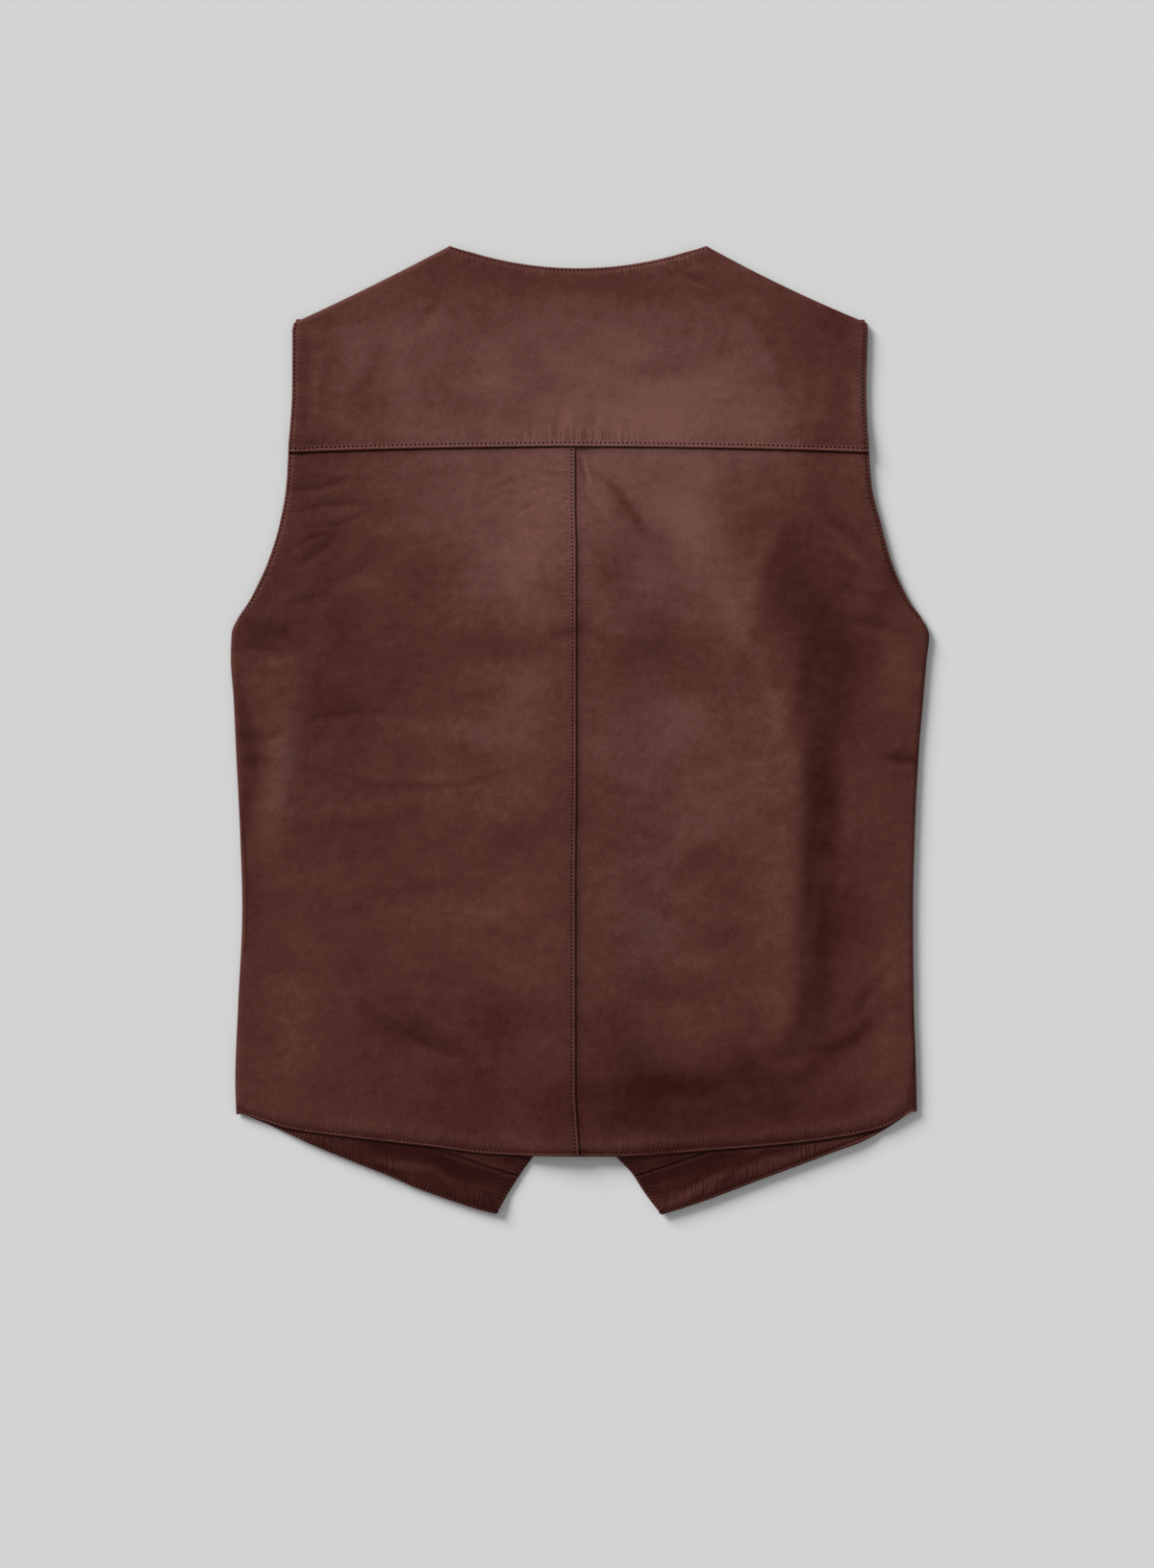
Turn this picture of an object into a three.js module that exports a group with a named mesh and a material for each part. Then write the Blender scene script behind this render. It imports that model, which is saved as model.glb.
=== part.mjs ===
// A man's waistcoat-style leather vest, laid flat on its front with its back side up.
// The back is a yoke over two panels with a centre seam. Below it lie the two fronts, snapped
// together at the centre, whose pointed hems show past the back's hem with their facings.
// Millimetres. +X is to the right as seen from above, +Y towards the neck, +Z up from the table.

import * as THREE from "three";

// Cloth
const leather = 1.1; // one layer of the shell
const facingLeather = 1.0;
const turnedEdge = 2.2; // the shell where its edge is turned under
const turnedWidth = 9;
const gap = 0.3; // between layers and at the shoulder seams
const sideSeamGap = 0.4; // along the cloth

// Whole garment
const halfWidth = 254; // at the underarm
const top = 352.5; // height of the two neck points
const hemCentre = -309.8;
const neckDrop = 16.5;
const neckPoint = { left: -94.6, right: 91.7 };
const shoulderTip = { left: -208, right: 208.5, y: 296.5 };
const shoulderSag = { left: 1, right: 2.2 };
const yokeSeamMiddle = 205.6;
const yokeSeamDrop = 6.2; // the yoke seam is this much lower at the armholes
const yokeLap = 6; // the back panels go this far under the yoke
const centreLap = 5; // the right back panel goes this far under the left one

// Heights above the table
const restHeight = 4.9; // top of the back over one flat front
const lapBulge = 4.3; // more than that over the fastened fronts
const sideRadius = 4; // the fold at the sides and shoulders, seen from above
const foldHeight = 2.6; // middle of that fold
const freeEdgeHeight = 3.9; // top of the armhole and neck edges
const freeEdgeRadius = 5;

// Fronts
const lapHalf = 12; // each front goes this far past the centre
const frontFacingShare = 0.23; // of the front's width
const facingInset = 0.005;
const frontTip = { left: { x: -61, y: -352 }, right: { x: 59.4, y: -352.5 } };
const armholeInset = 11; // the front armholes are cut this much deeper
const snap = { radius: 7.5, face: 5.5, height: 1.8, first: 98, pitch: 76, count: 5 };
const capRoom = snap.height + gap;
const lapRaise = leather + gap + facingLeather + gap;

// Outline of the vest from the hem up to the shoulder tips: x at each height y.
const leftOutline = [
  { y: -278, x: -250 },
  { y: -256, x: -250.7 },
  { y: -200, x: -248.6 },
  { y: -130, x: -245.6 },
  { y: -74, x: -247.2 },
  { y: -18, x: -250 },
  { y: 24, x: -252 },
  { y: 52, x: -halfWidth },
  { y: 70, x: -253.4 },
  { y: 80, x: -249.8 },
  { y: 94, x: -240.6 },
  { y: 108, x: -233.2 },
  { y: 122, x: -227.1 },
  { y: 150, x: -218.5 },
  { y: 178, x: -213.6 },
  { y: 206, x: -211.9 },
  { y: 248, x: -209.4 },
  { y: 290, x: -209.2 },
  { y: shoulderTip.y, x: shoulderTip.left },
];
const rightOutline = [
  { y: -276, x: 244.9 },
  { y: -242, x: 244.2 },
  { y: -200, x: 242.8 },
  { y: -130, x: 242.2 },
  { y: -74, x: 243.5 },
  { y: -18, x: 246.3 },
  { y: 24, x: 249.8 },
  { y: 52, x: 252.2 },
  { y: 68, x: halfWidth },
  { y: 80, x: 249.6 },
  { y: 94, x: 239.6 },
  { y: 108, x: 232.3 },
  { y: 122, x: 226.7 },
  { y: 150, x: 219 },
  { y: 178, x: 212.2 },
  { y: 206, x: 209.9 },
  { y: 248, x: 208.2 },
  { y: 290, x: 209.2 },
  { y: shoulderTip.y, x: shoulderTip.right },
];
const underarm = 76;

// Hem of the back: y at each x.
const backHem = [
  { x: -250, y: -278 },
  { x: -226.5, y: -285.4 },
  { x: -209, y: -290.6 },
  { x: -170.7, y: -295.9 },
  { x: -104.6, y: -303.4 },
  { x: -69.7, y: -308 },
  { x: -35, y: -309.6 },
  { x: 0, y: hemCentre },
  { x: 26.5, y: -309.5 },
  { x: 90.9, y: -305.2 },
  { x: 162.3, y: -299.1 },
  { x: 215.9, y: -289.9 },
  { x: 244.9, y: -276 },
];

// Centre seam of the back: x at each height y.
const centreSeam = [
  { y: -310, x: -0.2 },
  { y: -290, x: -1.6 },
  { y: -262, x: -3.3 },
  { y: -110, x: -3.3 },
  { y: -30, x: -2.6 },
  { y: 130, x: -2.7 },
  { y: 165, x: -3.5 },
  { y: 214, x: -3.6 },
];

// How far the front hems bow out below the straight line from the side to the tip: at each
// share of that line.
const leftHemBow = [
  { share: 0, out: 0 },
  { share: 0.1, out: 0.1 },
  { share: 0.18, out: 1 },
  { share: 0.36, out: 2.5 },
  { share: 0.58, out: 2.8 },
  { share: 0.68, out: 3.8 },
  { share: 0.8, out: 3.3 },
  { share: 0.92, out: 2 },
  { share: 1, out: 0 },
];
const rightHemBow = [
  { share: 0, out: 0 },
  { share: 0.05, out: 3 },
  { share: 0.12, out: 5.8 },
  { share: 0.2, out: 7.1 },
  { share: 0.31, out: 6.1 },
  { share: 0.46, out: 5.2 },
  { share: 0.62, out: 4 },
  { share: 0.8, out: 3.1 },
  { share: 0.9, out: 1.8 },
  { share: 1, out: 0 },
];

// Where the side seam lies: how far past the fold it comes onto the top side.
const leftSeamShift = [
  { y: -278, shift: 2.2 },
  { y: -180, shift: 2.8 },
  { y: -150, shift: 5.4 },
  { y: -90, shift: 5 },
  { y: -62, shift: 4 },
  { y: -44, shift: 0 },
  { y: underarm, shift: 0 },
];
const rightSeamShift = [
  { y: -276, shift: 10 },
  { y: -255, shift: 6.5 },
  { y: -235, shift: 3.2 },
  { y: -140, shift: 3.2 },
  { y: -100, shift: 5 },
  { y: -45, shift: 5.2 },
  { y: -22, shift: 3.2 },
  { y: -8, shift: 0 },
  { y: 8, shift: 0 },
  { y: 30, shift: 3.4 },
  { y: 56, shift: 0 },
  { y: underarm, shift: 0 },
];

// Front edges: x at each height y, from the tip up the cutaway, the lap and the V neck.
const leftFrontEdge = [
  { y: frontTip.left.y, x: frontTip.left.x },
  { y: -336.4, x: -51.9 },
  { y: -322.4, x: -42.8 },
  { y: -300, x: -26 },
  { y: -276, x: -8 },
  { y: -248, x: 6 },
  { y: -215, x: lapHalf },
  { y: 108, x: lapHalf },
  { y: 134, x: 3 },
  { y: 170, x: -14 },
  { y: 260, x: -56 },
  { y: top, x: neckPoint.left },
];
const rightFrontEdge = [
  { y: frontTip.right.y, x: frontTip.right.x },
  { y: -336.4, x: 46.8 },
  { y: -322.4, x: 37.7 },
  { y: -310.5, x: 26.5 },
  { y: -288, x: 7 },
  { y: -258, x: -7 },
  { y: -220, x: -lapHalf },
  { y: 108, x: -lapHalf },
  { y: 134, x: -3 },
  { y: 170, x: 14 },
  { y: 260, x: 55 },
  { y: top, x: neckPoint.right },
];

// Largest folds of the back. Each is a soft ridge or trough about (x, y), turned clockwise
// from the Y axis, with a half length, a half width and a rise at its middle.
const folds = [
  { x: 128, y: 84, turn: 26, long: 62, wide: 15, rise: 0.9 }, // ridge below the right armhole
  { x: 152, y: -88, turn: 0, long: 135, wide: 17, rise: 1.3 }, // long ridge on the right
  { x: 181, y: -98, turn: 1, long: 150, wide: 17, rise: -1.9 }, // trough beside it
  { x: 192, y: -219, turn: 68, long: 44, wide: 11, rise: -1.2 }, // curls round to the side
  { x: -195, y: 8, turn: 2, long: 92, wide: 13, rise: -0.9 }, // trough on the left
  { x: -217, y: -30, turn: 4, long: 58, wide: 11, rise: 0.8 }, // swell beside it
  { x: -228, y: 72, turn: 86, long: 30, wide: 8, rise: -0.7 }, // pinch under the left arm
  { x: -108, y: -229, turn: 118, long: 46, wide: 10, rise: -1.0 }, // drag line above the hem
  { x: -40, y: -64, turn: 20, long: 28, wide: 18, rise: -0.5 },
  { x: 104, y: -142, turn: 60, long: 36, wide: 14, rise: -0.6 },
  { x: 176, y: 180, turn: 140, long: 34, wide: 9, rise: -0.7 }, // crease at the right armhole
  { x: -126, y: 138, turn: 60, long: 34, wide: 20, rise: -0.5 },
];

const mix = (a, b, t) => a + (b - a) * t;
const clamp01 = (t) => Math.min(1, Math.max(0, t));
const smooth = (t) => clamp01(t) ** 2 * (3 - 2 * clamp01(t));

// 1 up to full, easing to 0 at none.
const fade = (value, full, none) => 1 - smooth((value - full) / (none - full));

// A smooth curve through the rows of a table, from the column "by" to the column "get".
// Slopes are held back at turning points, so the curve never swings past a row.
function through(rows, by, get) {
  const slopes = rows.map((row, i) => {
    const before = rows[Math.max(0, i - 1)];
    const after = rows[Math.min(rows.length - 1, i + 1)];
    const into = (row[get] - before[get]) / (row[by] - before[by] || 1);
    const outOf = (after[get] - row[get]) / (after[by] - row[by] || 1);
    if (row === before) return outOf;
    if (row === after) return into;
    return into * outOf <= 0 ? 0 : (2 * into * outOf) / (into + outOf);
  });
  return (at) => {
    let i = rows.findIndex((row) => row[by] > at) - 1;
    if (i < 0) i = at < rows[0][by] ? 0 : rows.length - 2;
    const span = rows[i + 1][by] - rows[i][by];
    const t = clamp01((at - rows[i][by]) / span);
    const past = at - rows[i][by] - t * span;
    return (
      rows[i][get] * (1 + 2 * t) * (1 - t) ** 2 +
      slopes[i] * span * t * (1 - t) ** 2 +
      rows[i + 1][get] * t * t * (3 - 2 * t) +
      slopes[i + 1] * span * t * t * (t - 1) +
      past * slopes[t > 0.5 ? i + 1 : i]
    );
  };
}

const outline = { left: through(leftOutline, "y", "x"), right: through(rightOutline, "y", "x") };
const seamShift = {
  left: through(leftSeamShift, "y", "shift"),
  right: through(rightSeamShift, "y", "shift"),
};
const frontEdge = {
  left: through(leftFrontEdge, "y", "x"),
  right: through(rightFrontEdge, "y", "x"),
};
const hemAt = through(backHem, "x", "y");
const hemBow = {
  left: through(leftHemBow, "share", "out"),
  right: through(rightHemBow, "share", "out"),
};
const centreSeamAt = through(centreSeam, "y", "x");
const inward = { left: 1, right: -1 }; // the way along X from each side to the middle

const yokeSeamAt = (x) => yokeSeamMiddle - yokeSeamDrop * (x / halfWidth) ** 2;

function shoulderAt(x, side) {
  const t = clamp01((x - shoulderTip[side]) / (neckPoint[side] - shoulderTip[side]));
  return mix(shoulderTip.y, top, t) - shoulderSag[side] * 4 * t * (1 - t);
}

function neckAt(x) {
  const middle = (neckPoint.left + neckPoint.right) / 2;
  return top - neckDrop * (1 - ((x - middle) / (neckPoint.right - middle)) ** 2);
}

function topEdgeAt(x) {
  if (x < neckPoint.left) return shoulderAt(x, "left");
  return x > neckPoint.right ? shoulderAt(x, "right") : neckAt(x);
}

// Quarter-ellipse from 0 at the edge to 1 at the given radius inside it.
const roundOver = (inside, radius) => Math.sqrt(1 - (1 - clamp01(inside / radius)) ** 2);

// The yoke seam holds the cloth flat beside it, so the folds fade out there.
function foldRelief(x, y) {
  const held = Math.exp(-(((y - yokeSeamAt(x)) / 13) ** 2));
  return (1 - held) * folds.reduce((sum, fold) => {
    const turn = THREE.MathUtils.degToRad(fold.turn);
    const across = (x - fold.x) * Math.cos(turn) - (y - fold.y) * Math.sin(turn);
    const along = (x - fold.x) * Math.sin(turn) + (y - fold.y) * Math.cos(turn);
    return sum + fold.rise * Math.exp(-((across / fold.wide) ** 2) - (along / fold.long) ** 4);
  }, 0);
}

// Top of the back away from its edges. The fastened fronts below lift its middle.
function backTop(x, y) {
  const across = x < 0 ? fade(-x, 10, 60) : fade(x, 16, 76);
  const overLap = across * fade(y, 130, 235) * fade(-y, 275, 345);
  return restHeight + lapBulge * overLap + foldRelief(x, y);
}

// Top of the back with its edges down: rolled round the fold at the sides and the shoulders,
// and eased towards the fronts at the free edges of the armholes and the neck.
function backSurfaceHeight(x, y) {
  const side = x < 0 ? "left" : "right";
  const high = backTop(x, y);
  const edgeHeight = (inside, free) =>
    mix(
      mix(foldHeight, freeEdgeHeight, free),
      high,
      mix(roundOver(inside, sideRadius), smooth(inside / freeEdgeRadius), free),
    );
  const fromSide = (x - outline[side](y)) * inward[side];
  const fromTop = (topEdgeAt(x) - y) * 0.9;
  const pastNeckPoint = (x - neckPoint[side]) * inward[side];
  return Math.min(
    edgeHeight(fromSide, smooth((y - underarm + 10) / 40)),
    edgeHeight(fromTop, smooth(pastNeckPoint / 16)),
  );
}

// The centre seam is raised on its left, where both seam allowances lie.
function centreRaise(x, y) {
  const past = x - centreSeamAt(y);
  return (leather + gap) * (past < 0 ? fade(-past, 9, 60) : fade(past, 0, 3));
}

// Both fronts rise over the snap caps, and the right one lies on the left one at the lap.
function frontLift(x, y) {
  return capRoom * fade(Math.abs(x), 16, 60) * fade(y, 118, 180) * fade(-y, 225, 285);
}

function lapLift(x, y) {
  return lapRaise * fade(x, 15, 64) * fade(y, 150, 210) * fade(-y, 292, 345);
}

// Coons patch: the plan position at (u, v) between four boundary curves in the plane.
function patch({ bottom, top: upper, left, right }) {
  const corners = [bottom(0), bottom(1), upper(0), upper(1)];
  return (u, v) => {
    const [b, t, l, r] = [bottom(u), upper(u), left(v), right(v)];
    return [0, 1].map(
      (k) =>
        mix(b[k], t[k], v) +
        mix(l[k], r[k], u) -
        mix(mix(corners[0][k], corners[1][k], u), mix(corners[2][k], corners[3][k], u), v),
    );
  };
}

// A boundary up the table rows: the point at v between two heights, with x from a curve.
const upright = (xAt, low, high) => (v) => [xAt(mix(low, high, v)), mix(low, high, v)];

// A boundary across: the point at u between two x values, with y from a curve.
const across = (yAt, from, to) => (u) => [mix(from, to, u), yAt(mix(from, to, u))];

// The yoke's top edge, with fixed shares of u for the two shoulders and the neck.
const yokeShoulderShare = 0.27;
function yokeTopEdge(u) {
  const spans = [
    { share: yokeShoulderShare, from: shoulderTip.left, to: neckPoint.left },
    { share: 1 - 2 * yokeShoulderShare, from: neckPoint.left, to: neckPoint.right },
    { share: yokeShoulderShare, from: neckPoint.right, to: shoulderTip.right },
  ];
  let start = 0;
  for (const span of spans) {
    if (u <= start + span.share + 1e-9) {
      const x = mix(span.from, span.to, clamp01((u - start) / span.share));
      return [x, topEdgeAt(x)];
    }
    start += span.share;
  }
  return [shoulderTip.right, shoulderTip.y];
}

function yokeSurface() {
  const plan = patch({
    bottom: across(yokeSeamAt, outline.left(yokeSeamAt(-210)), outline.right(yokeSeamAt(210))),
    top: yokeTopEdge,
    left: upright(outline.left, yokeSeamAt(-210), shoulderTip.y),
    right: upright(outline.right, yokeSeamAt(210), shoulderTip.y),
  });
  return (u, v) => {
    const [x, y] = plan(u, v);
    const aboveSeam = y - yokeSeamAt(x);
    const lap = (leather + gap + centreRaise(x, y)) * fade(aboveSeam, 7, 30);
    return new THREE.Vector3(x, y, backSurfaceHeight(x, y) + lap);
  };
}

// Plan distance from the outline at a distance s along the cloth from the middle of the fold.
const quarterFold = (Math.PI / 2) * Math.sqrt((sideRadius ** 2 + foldHeight ** 2) / 2);
function foldReach(s) {
  const angle = (Math.min(Math.abs(s), quarterFold) / quarterFold) * (Math.PI / 2);
  return sideRadius * (1 - Math.cos(angle)) + Math.max(0, Math.abs(s) - quarterFold);
}

// Edge of a back panel, from the hem to the yoke: at the side seam and then at the armhole.
function panelSide(side) {
  const edgeAt = (y) => {
    const shift = y < underarm ? seamShift[side](y) + sideSeamGap / 2 : 0;
    return outline[side](y) + inward[side] * foldReach(shift);
  };
  const low = hemAt(edgeAt(side === "left" ? leftOutline[0].y : rightOutline[0].y));
  const high = yokeSeamAt(outline[side](yokeSeamMiddle)) + yokeLap;
  return { edgeAt, low, high };
}

function backPanelSurface(side) {
  const { edgeAt, low, high } = panelSide(side);
  const centreAt = (y) => centreSeamAt(y) + (side === "left" ? 0 : gap / 2 - centreLap);
  const hemStart = hemAt(centreSeamAt(hemCentre));
  const centreTop = yokeSeamMiddle + yokeLap;
  const plan = patch({
    bottom: across(hemAt, edgeAt(low), centreAt(hemStart)),
    top: across((x) => yokeSeamAt(x) + yokeLap, edgeAt(high), centreAt(centreTop)),
    left: upright(edgeAt, low, high),
    right: upright(centreAt, hemStart, centreTop),
  });
  return (u, v) => {
    const [x, y] = plan(side === "left" ? u : 1 - u, v);
    const raise = side === "left" ? centreRaise(x, y) : 0;
    return new THREE.Vector3(x, y, backSurfaceHeight(x, y) + raise);
  };
}

// A front. The first share of u goes round the fold at the side, from the side seam to the
// flat underside, and the rest is flat. Above the underarm the fold opens into a plain edge.
const foldShare = 0.06;
function frontSurface(side) {
  const way = inward[side];
  const hemEnd = side === "left" ? leftOutline[0].y : rightOutline[0].y;
  const tip = frontTip[side];
  const armhole = (y) => {
    const t = clamp01((y - underarm) / (shoulderTip.y - underarm));
    return outline[side](y) + way * (armholeInset * Math.sin(Math.PI * t) + 1.2 * smooth(8 * t));
  };
  const flatEdge = (y) => armhole(y) + way * sideRadius;
  const shoulderX = (u) => mix(flatEdge(shoulderTip.y), neckPoint[side], u);
  const low = mix(hemEnd, tip.y, sideRadius / Math.abs(tip.x - armhole(hemEnd)));
  const high = shoulderAt(shoulderX(0), side);
  const edge = upright(frontEdge[side], tip.y, top);
  const plan = patch({
    bottom: (u) => [mix(flatEdge(low), tip.x, u), mix(low, tip.y, u) - hemBow[side](u)],
    top: (u) => [shoulderX(u), shoulderAt(shoulderX(u), side)],
    left: upright(flatEdge, low, high),
    // Closer near the point, so that the rows there lie parallel to the hem.
    right: (v) => edge(v * (1 - 0.25 * fade(v, 0.06, 0.3))),
  });
  const lift = (x, y) => frontLift(x, y) + (side === "right" ? lapLift(x, y) : 0);
  const curl = (below, fromArmhole) =>
    (foldHeight - gap) * mix(0.5, 1, smooth(fromArmhole / 12)) *
    (1 - roundOver(below * 0.9, sideRadius));
  const surface = (u, v) => {
    if (u >= foldShare) {
      const [x, y] = plan((u - foldShare) / (1 - foldShare), v);
      const z = lift(x, y) + curl(shoulderAt(x, side) - y, (x - armhole(y)) * way);
      return new THREE.Vector3(x, y, z);
    }
    const [, row] = plan(0, v);
    const shift = row < underarm ? seamShift[side](row) : 0;
    const s = mix(shift - sideSeamGap / 2, -quarterFold, u / foldShare);
    const x = armhole(row) + way * foldReach(s);
    const open = fade(row, underarm - 4, underarm + 34);
    // On the top side, the hem runs on from the hem of the back.
    const onTop = s > 0 ? smooth(s / shift) * fade(row - low, 6, 45) : 0;
    const y = row + onTop * (hemAt(x) - low);
    const turn = (Math.min(Math.abs(s), quarterFold) / quarterFold) * (Math.PI / 2);
    const upper = mix(foldHeight, backTop(x, y), Math.sin(turn));
    const lower = foldHeight * (1 - Math.sin(turn));
    const z = s > 0 ? upper : lower * open;
    return new THREE.Vector3(x, y, Math.max(z, curl(shoulderTip.y - y, 0)));
  };
  return { surface, low, high };
}

// Unit normal of a surface at (u, v), by differences.
function normalAt(surface, u, v) {
  const step = 1e-6;
  const [u0, u1] = [Math.max(0, u - step), Math.min(1, u + step)];
  const [v0, v1] = [Math.max(0, v - step), Math.min(1, v + step)];
  const alongU = surface(u1, v).sub(surface(u0, v));
  const alongV = surface(u, v1).sub(surface(u, v0));
  return alongU.cross(alongV).normalize();
}

// A closed wall over a grid of (u, v). The outer face lies at depth "from" under the surface
// and the inner one at depth "to", measured against the way the surface faces.
function wall(surface, us, vs, { from, to, faces }) {
  const positions = [];
  const columns = us.length;
  for (const layer of [from, to]) {
    for (const v of vs) {
      for (const u of us) {
        const point = surface(u, v);
        const depth = typeof layer === "function" ? layer(point) : layer;
        point.addScaledVector(normalAt(surface, u, v), -faces * depth);
        positions.push(point.x, point.y, point.z);
      }
    }
  }
  const rows = vs.length;
  const at = (layer, j, i) => (layer * rows + j) * columns + i;
  const triangles = [];
  const quad = (a, b, c, d) => {
    if (faces > 0) triangles.push(a, b, c, a, c, d);
    else triangles.push(a, c, b, a, d, c);
  };
  for (let j = 0; j + 1 < rows; j++) {
    for (let i = 0; i + 1 < columns; i++) {
      quad(at(0, j, i), at(0, j, i + 1), at(0, j + 1, i + 1), at(0, j + 1, i));
      quad(at(1, j, i), at(1, j + 1, i), at(1, j + 1, i + 1), at(1, j, i + 1));
    }
  }
  for (let i = 0; i + 1 < columns; i++) {
    quad(at(1, 0, i), at(1, 0, i + 1), at(0, 0, i + 1), at(0, 0, i));
    quad(at(0, rows - 1, i), at(0, rows - 1, i + 1), at(1, rows - 1, i + 1), at(1, rows - 1, i));
  }
  // Both ends are cut along the same diagonal, so that the walls at a seam stay parallel.
  const end = columns - 1;
  for (let j = 0; j + 1 < rows; j++) {
    quad(at(0, j, 0), at(0, j + 1, 0), at(1, j + 1, 0), at(1, j, 0));
    quad(at(1, j + 1, end), at(0, j + 1, end), at(0, j, end), at(1, j, end));
  }
  const geometry = new THREE.BufferGeometry();
  geometry.setAttribute("position", new THREE.Float32BufferAttribute(positions, 3));
  geometry.setIndex(triangles);
  geometry.computeVertexNormals();
  return geometry;
}

// Shares from 0 to 1 with close steps, in millimetres, at either end and even ones between.
function steps(length, startSteps, endSteps, even) {
  const first = startSteps.map((d) => d / length);
  const last = endSteps.map((d) => 1 - d / length).reverse();
  const [low, high] = [first.at(-1), last[0]];
  const middle = Array.from({ length: even - 1 }, (_, i) => mix(low, high, (i + 1) / even));
  return [...first, ...middle, ...last];
}

// Thickness of the back's wall: doubled where the hem, the armhole and the neck are turned
// under, and single again where they run into a seam or a fold.
function backThickness({ x, y }) {
  const side = x < 0 ? "left" : "right";
  const fromSide = Math.abs(x - outline[side](y));
  const fromHem = y - hemAt(x);
  const onHem = fade(fromHem, turnedWidth - 4, turnedWidth) * smooth((fromSide - 10) / 8);
  const onArmhole = fade(fromSide, turnedWidth - 4, turnedWidth) * smooth((y - underarm - 30) / 20);
  const betweenNeckPoints = Math.min(x - neckPoint.left, neckPoint.right - x);
  const onNeck =
    fade(topEdgeAt(x) - y, turnedWidth - 4, turnedWidth) * smooth((betweenNeckPoints - 18) / 12);
  const fromShoulder = betweenNeckPoints < 0 ? topEdgeAt(x) - y : Infinity;
  const clearOfCentre = smooth((Math.abs(x - centreSeamAt(y)) - 8) / 6);
  const clearOfSeams =
    smooth((Math.abs(y - yokeSeamAt(x)) - 9) / 6) * smooth((fromShoulder - 8) / 8);
  return mix(leather, turnedEdge, Math.max(onHem * clearOfCentre, onArmhole * clearOfSeams, onNeck));
}

const finish = {
  shell: { color: 0x53312c, roughness: 0.55, metalness: 0 },
  facing: { color: 0x3a1c18, roughness: 0.6, metalness: 0 },
  metal: { color: 0x4a423c, roughness: 0.35, metalness: 1 },
};

const vest = new THREE.Group();
vest.name = "leather_vest";

function addPiece(name, geometry, look) {
  const piece = new THREE.Mesh(geometry, new THREE.MeshStandardMaterial(finish[look]));
  piece.name = name;
  vest.add(piece);
  return piece;
}

// Rows of the back panels, from the hem up. The fronts have theirs at the same heights at the
// side, so that both walls of the seam bend at the same places.
const hemRows = [0, 3, 11, 20, 30];
const panelShares = steps(500, hemRows, [0, 6, 14], 26);

function addBack() {
  const edge = [0, 1.3, 3.5, 9];
  const shoulder = 418 * yokeShoulderShare;
  const yokeUs = [
    ...steps(418, edge, [418 - shoulder], 5),
    ...steps(1, [yokeShoulderShare], [1 - 0.437], 3).slice(1),
    ...[0.4725, 0.4938, 0.501],
    ...steps(1, [0.545], [yokeShoulderShare], 4).slice(0, -1),
    ...steps(418, [418 - shoulder], edge, 5),
  ];
  const yokeVs = steps(120, [0, 2, 7, 16, 30], [0, 0.8, 2.4, 6, 12], 5);
  const back = { from: 0, to: backThickness, faces: 1 };
  addPiece("back_yoke", wall(yokeSurface(), yokeUs, yokeVs, back), "shell");
  for (const side of ["left", "right"]) {
    const centre = side === "left" ? [0, 3, 10, 22] : [0, 5, 12, 24];
    const us = side === "left" ? steps(230, edge, centre, 12) : steps(230, centre, edge, 12);
    addPiece("back_panel_" + side, wall(backPanelSurface(side), us, panelShares, back), "shell");
  }
}

// Rows of a front: its hem, then the panel's rows up to the underarm, then its own.
function frontShares(side, low, high) {
  const panel = panelSide(side);
  const hem = hemRows.map((d) => low + d);
  const shared = panelShares
    .map((v) => mix(panel.low, panel.high, v))
    .filter((y) => y > hem.at(-1) + 8 && y < underarm + 20);
  const above = [0.2, 0.4, 0.6, 0.8].map((t) => mix(shared.at(-1), high - 14, t));
  const shoulder = [14, 6, 2.4, 0.8, 0].map((d) => high - d);
  return [...hem, ...shared, ...above, ...shoulder].map((y) => (y - low) / (high - low));
}

function addFront(side) {
  const { surface, low, high } = frontSurface(side);
  const faces = side === "left" ? -1 : 1;
  const shell = { from: 0, to: leather, faces };
  const facing = { from: leather + gap, to: leather + gap + facingLeather, faces };
  const round = steps(1, [0], [0], 7).map((t) => t * foldShare);
  const nearFold = [0, 0.012, 0.06, 0.12, 0.2];
  const nearFrontEdge = [0, facingInset, 0.02, 0.065, 0.115, 0.17, frontFacingShare];
  const flat = steps(1, nearFold, nearFrontEdge, 5).map((t) => mix(foldShare, 1, t));
  const vs = frontShares(side, low, high);
  addPiece("front_" + side, wall(surface, [...round.slice(0, -1), ...flat], vs, shell), "shell");

  const hemUs = flat.filter((u) => u > foldShare && u < 1);
  const hemVs = vs.slice(1, hemRows.length);
  addPiece("hem_facing_" + side, wall(surface, hemUs, hemVs, facing), "facing");

  const edgeUs = hemUs.filter((u) => u > 1 - frontFacingShare);
  const start = hemVs.at(-1) + gap / 700;
  const edgeVs = vs.filter((v) => v > start && v < 1 - 0.012);
  addPiece("front_facing_" + side, wall(surface, edgeUs, [start, ...edgeVs], facing), "facing");
}

function addSnaps() {
  const profile = [
    [0, 0],
    [snap.face, 0],
    [snap.radius - 0.7, 0.35],
    [snap.radius, 1],
    [snap.radius, snap.height],
    [0, snap.height],
  ].map(([r, z]) => new THREE.Vector2(r, z));
  for (let i = 0; i < snap.count; i++) {
    const cap = new THREE.LatheGeometry(profile, 24);
    cap.rotateX(Math.PI / 2);
    const piece = addPiece("snap_cap_" + (i + 1), cap, "metal");
    piece.position.set(0, snap.first - i * snap.pitch, 0);
  }
}

addBack();
addFront("left");
addFront("right");
addSnaps();

// The origin is on the table, below the middle of the outline.
const middle = new THREE.Box3().setFromObject(vest).getCenter(new THREE.Vector3());
vest.position.set(-middle.x, -middle.y, 0);

export default vest;
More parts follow.
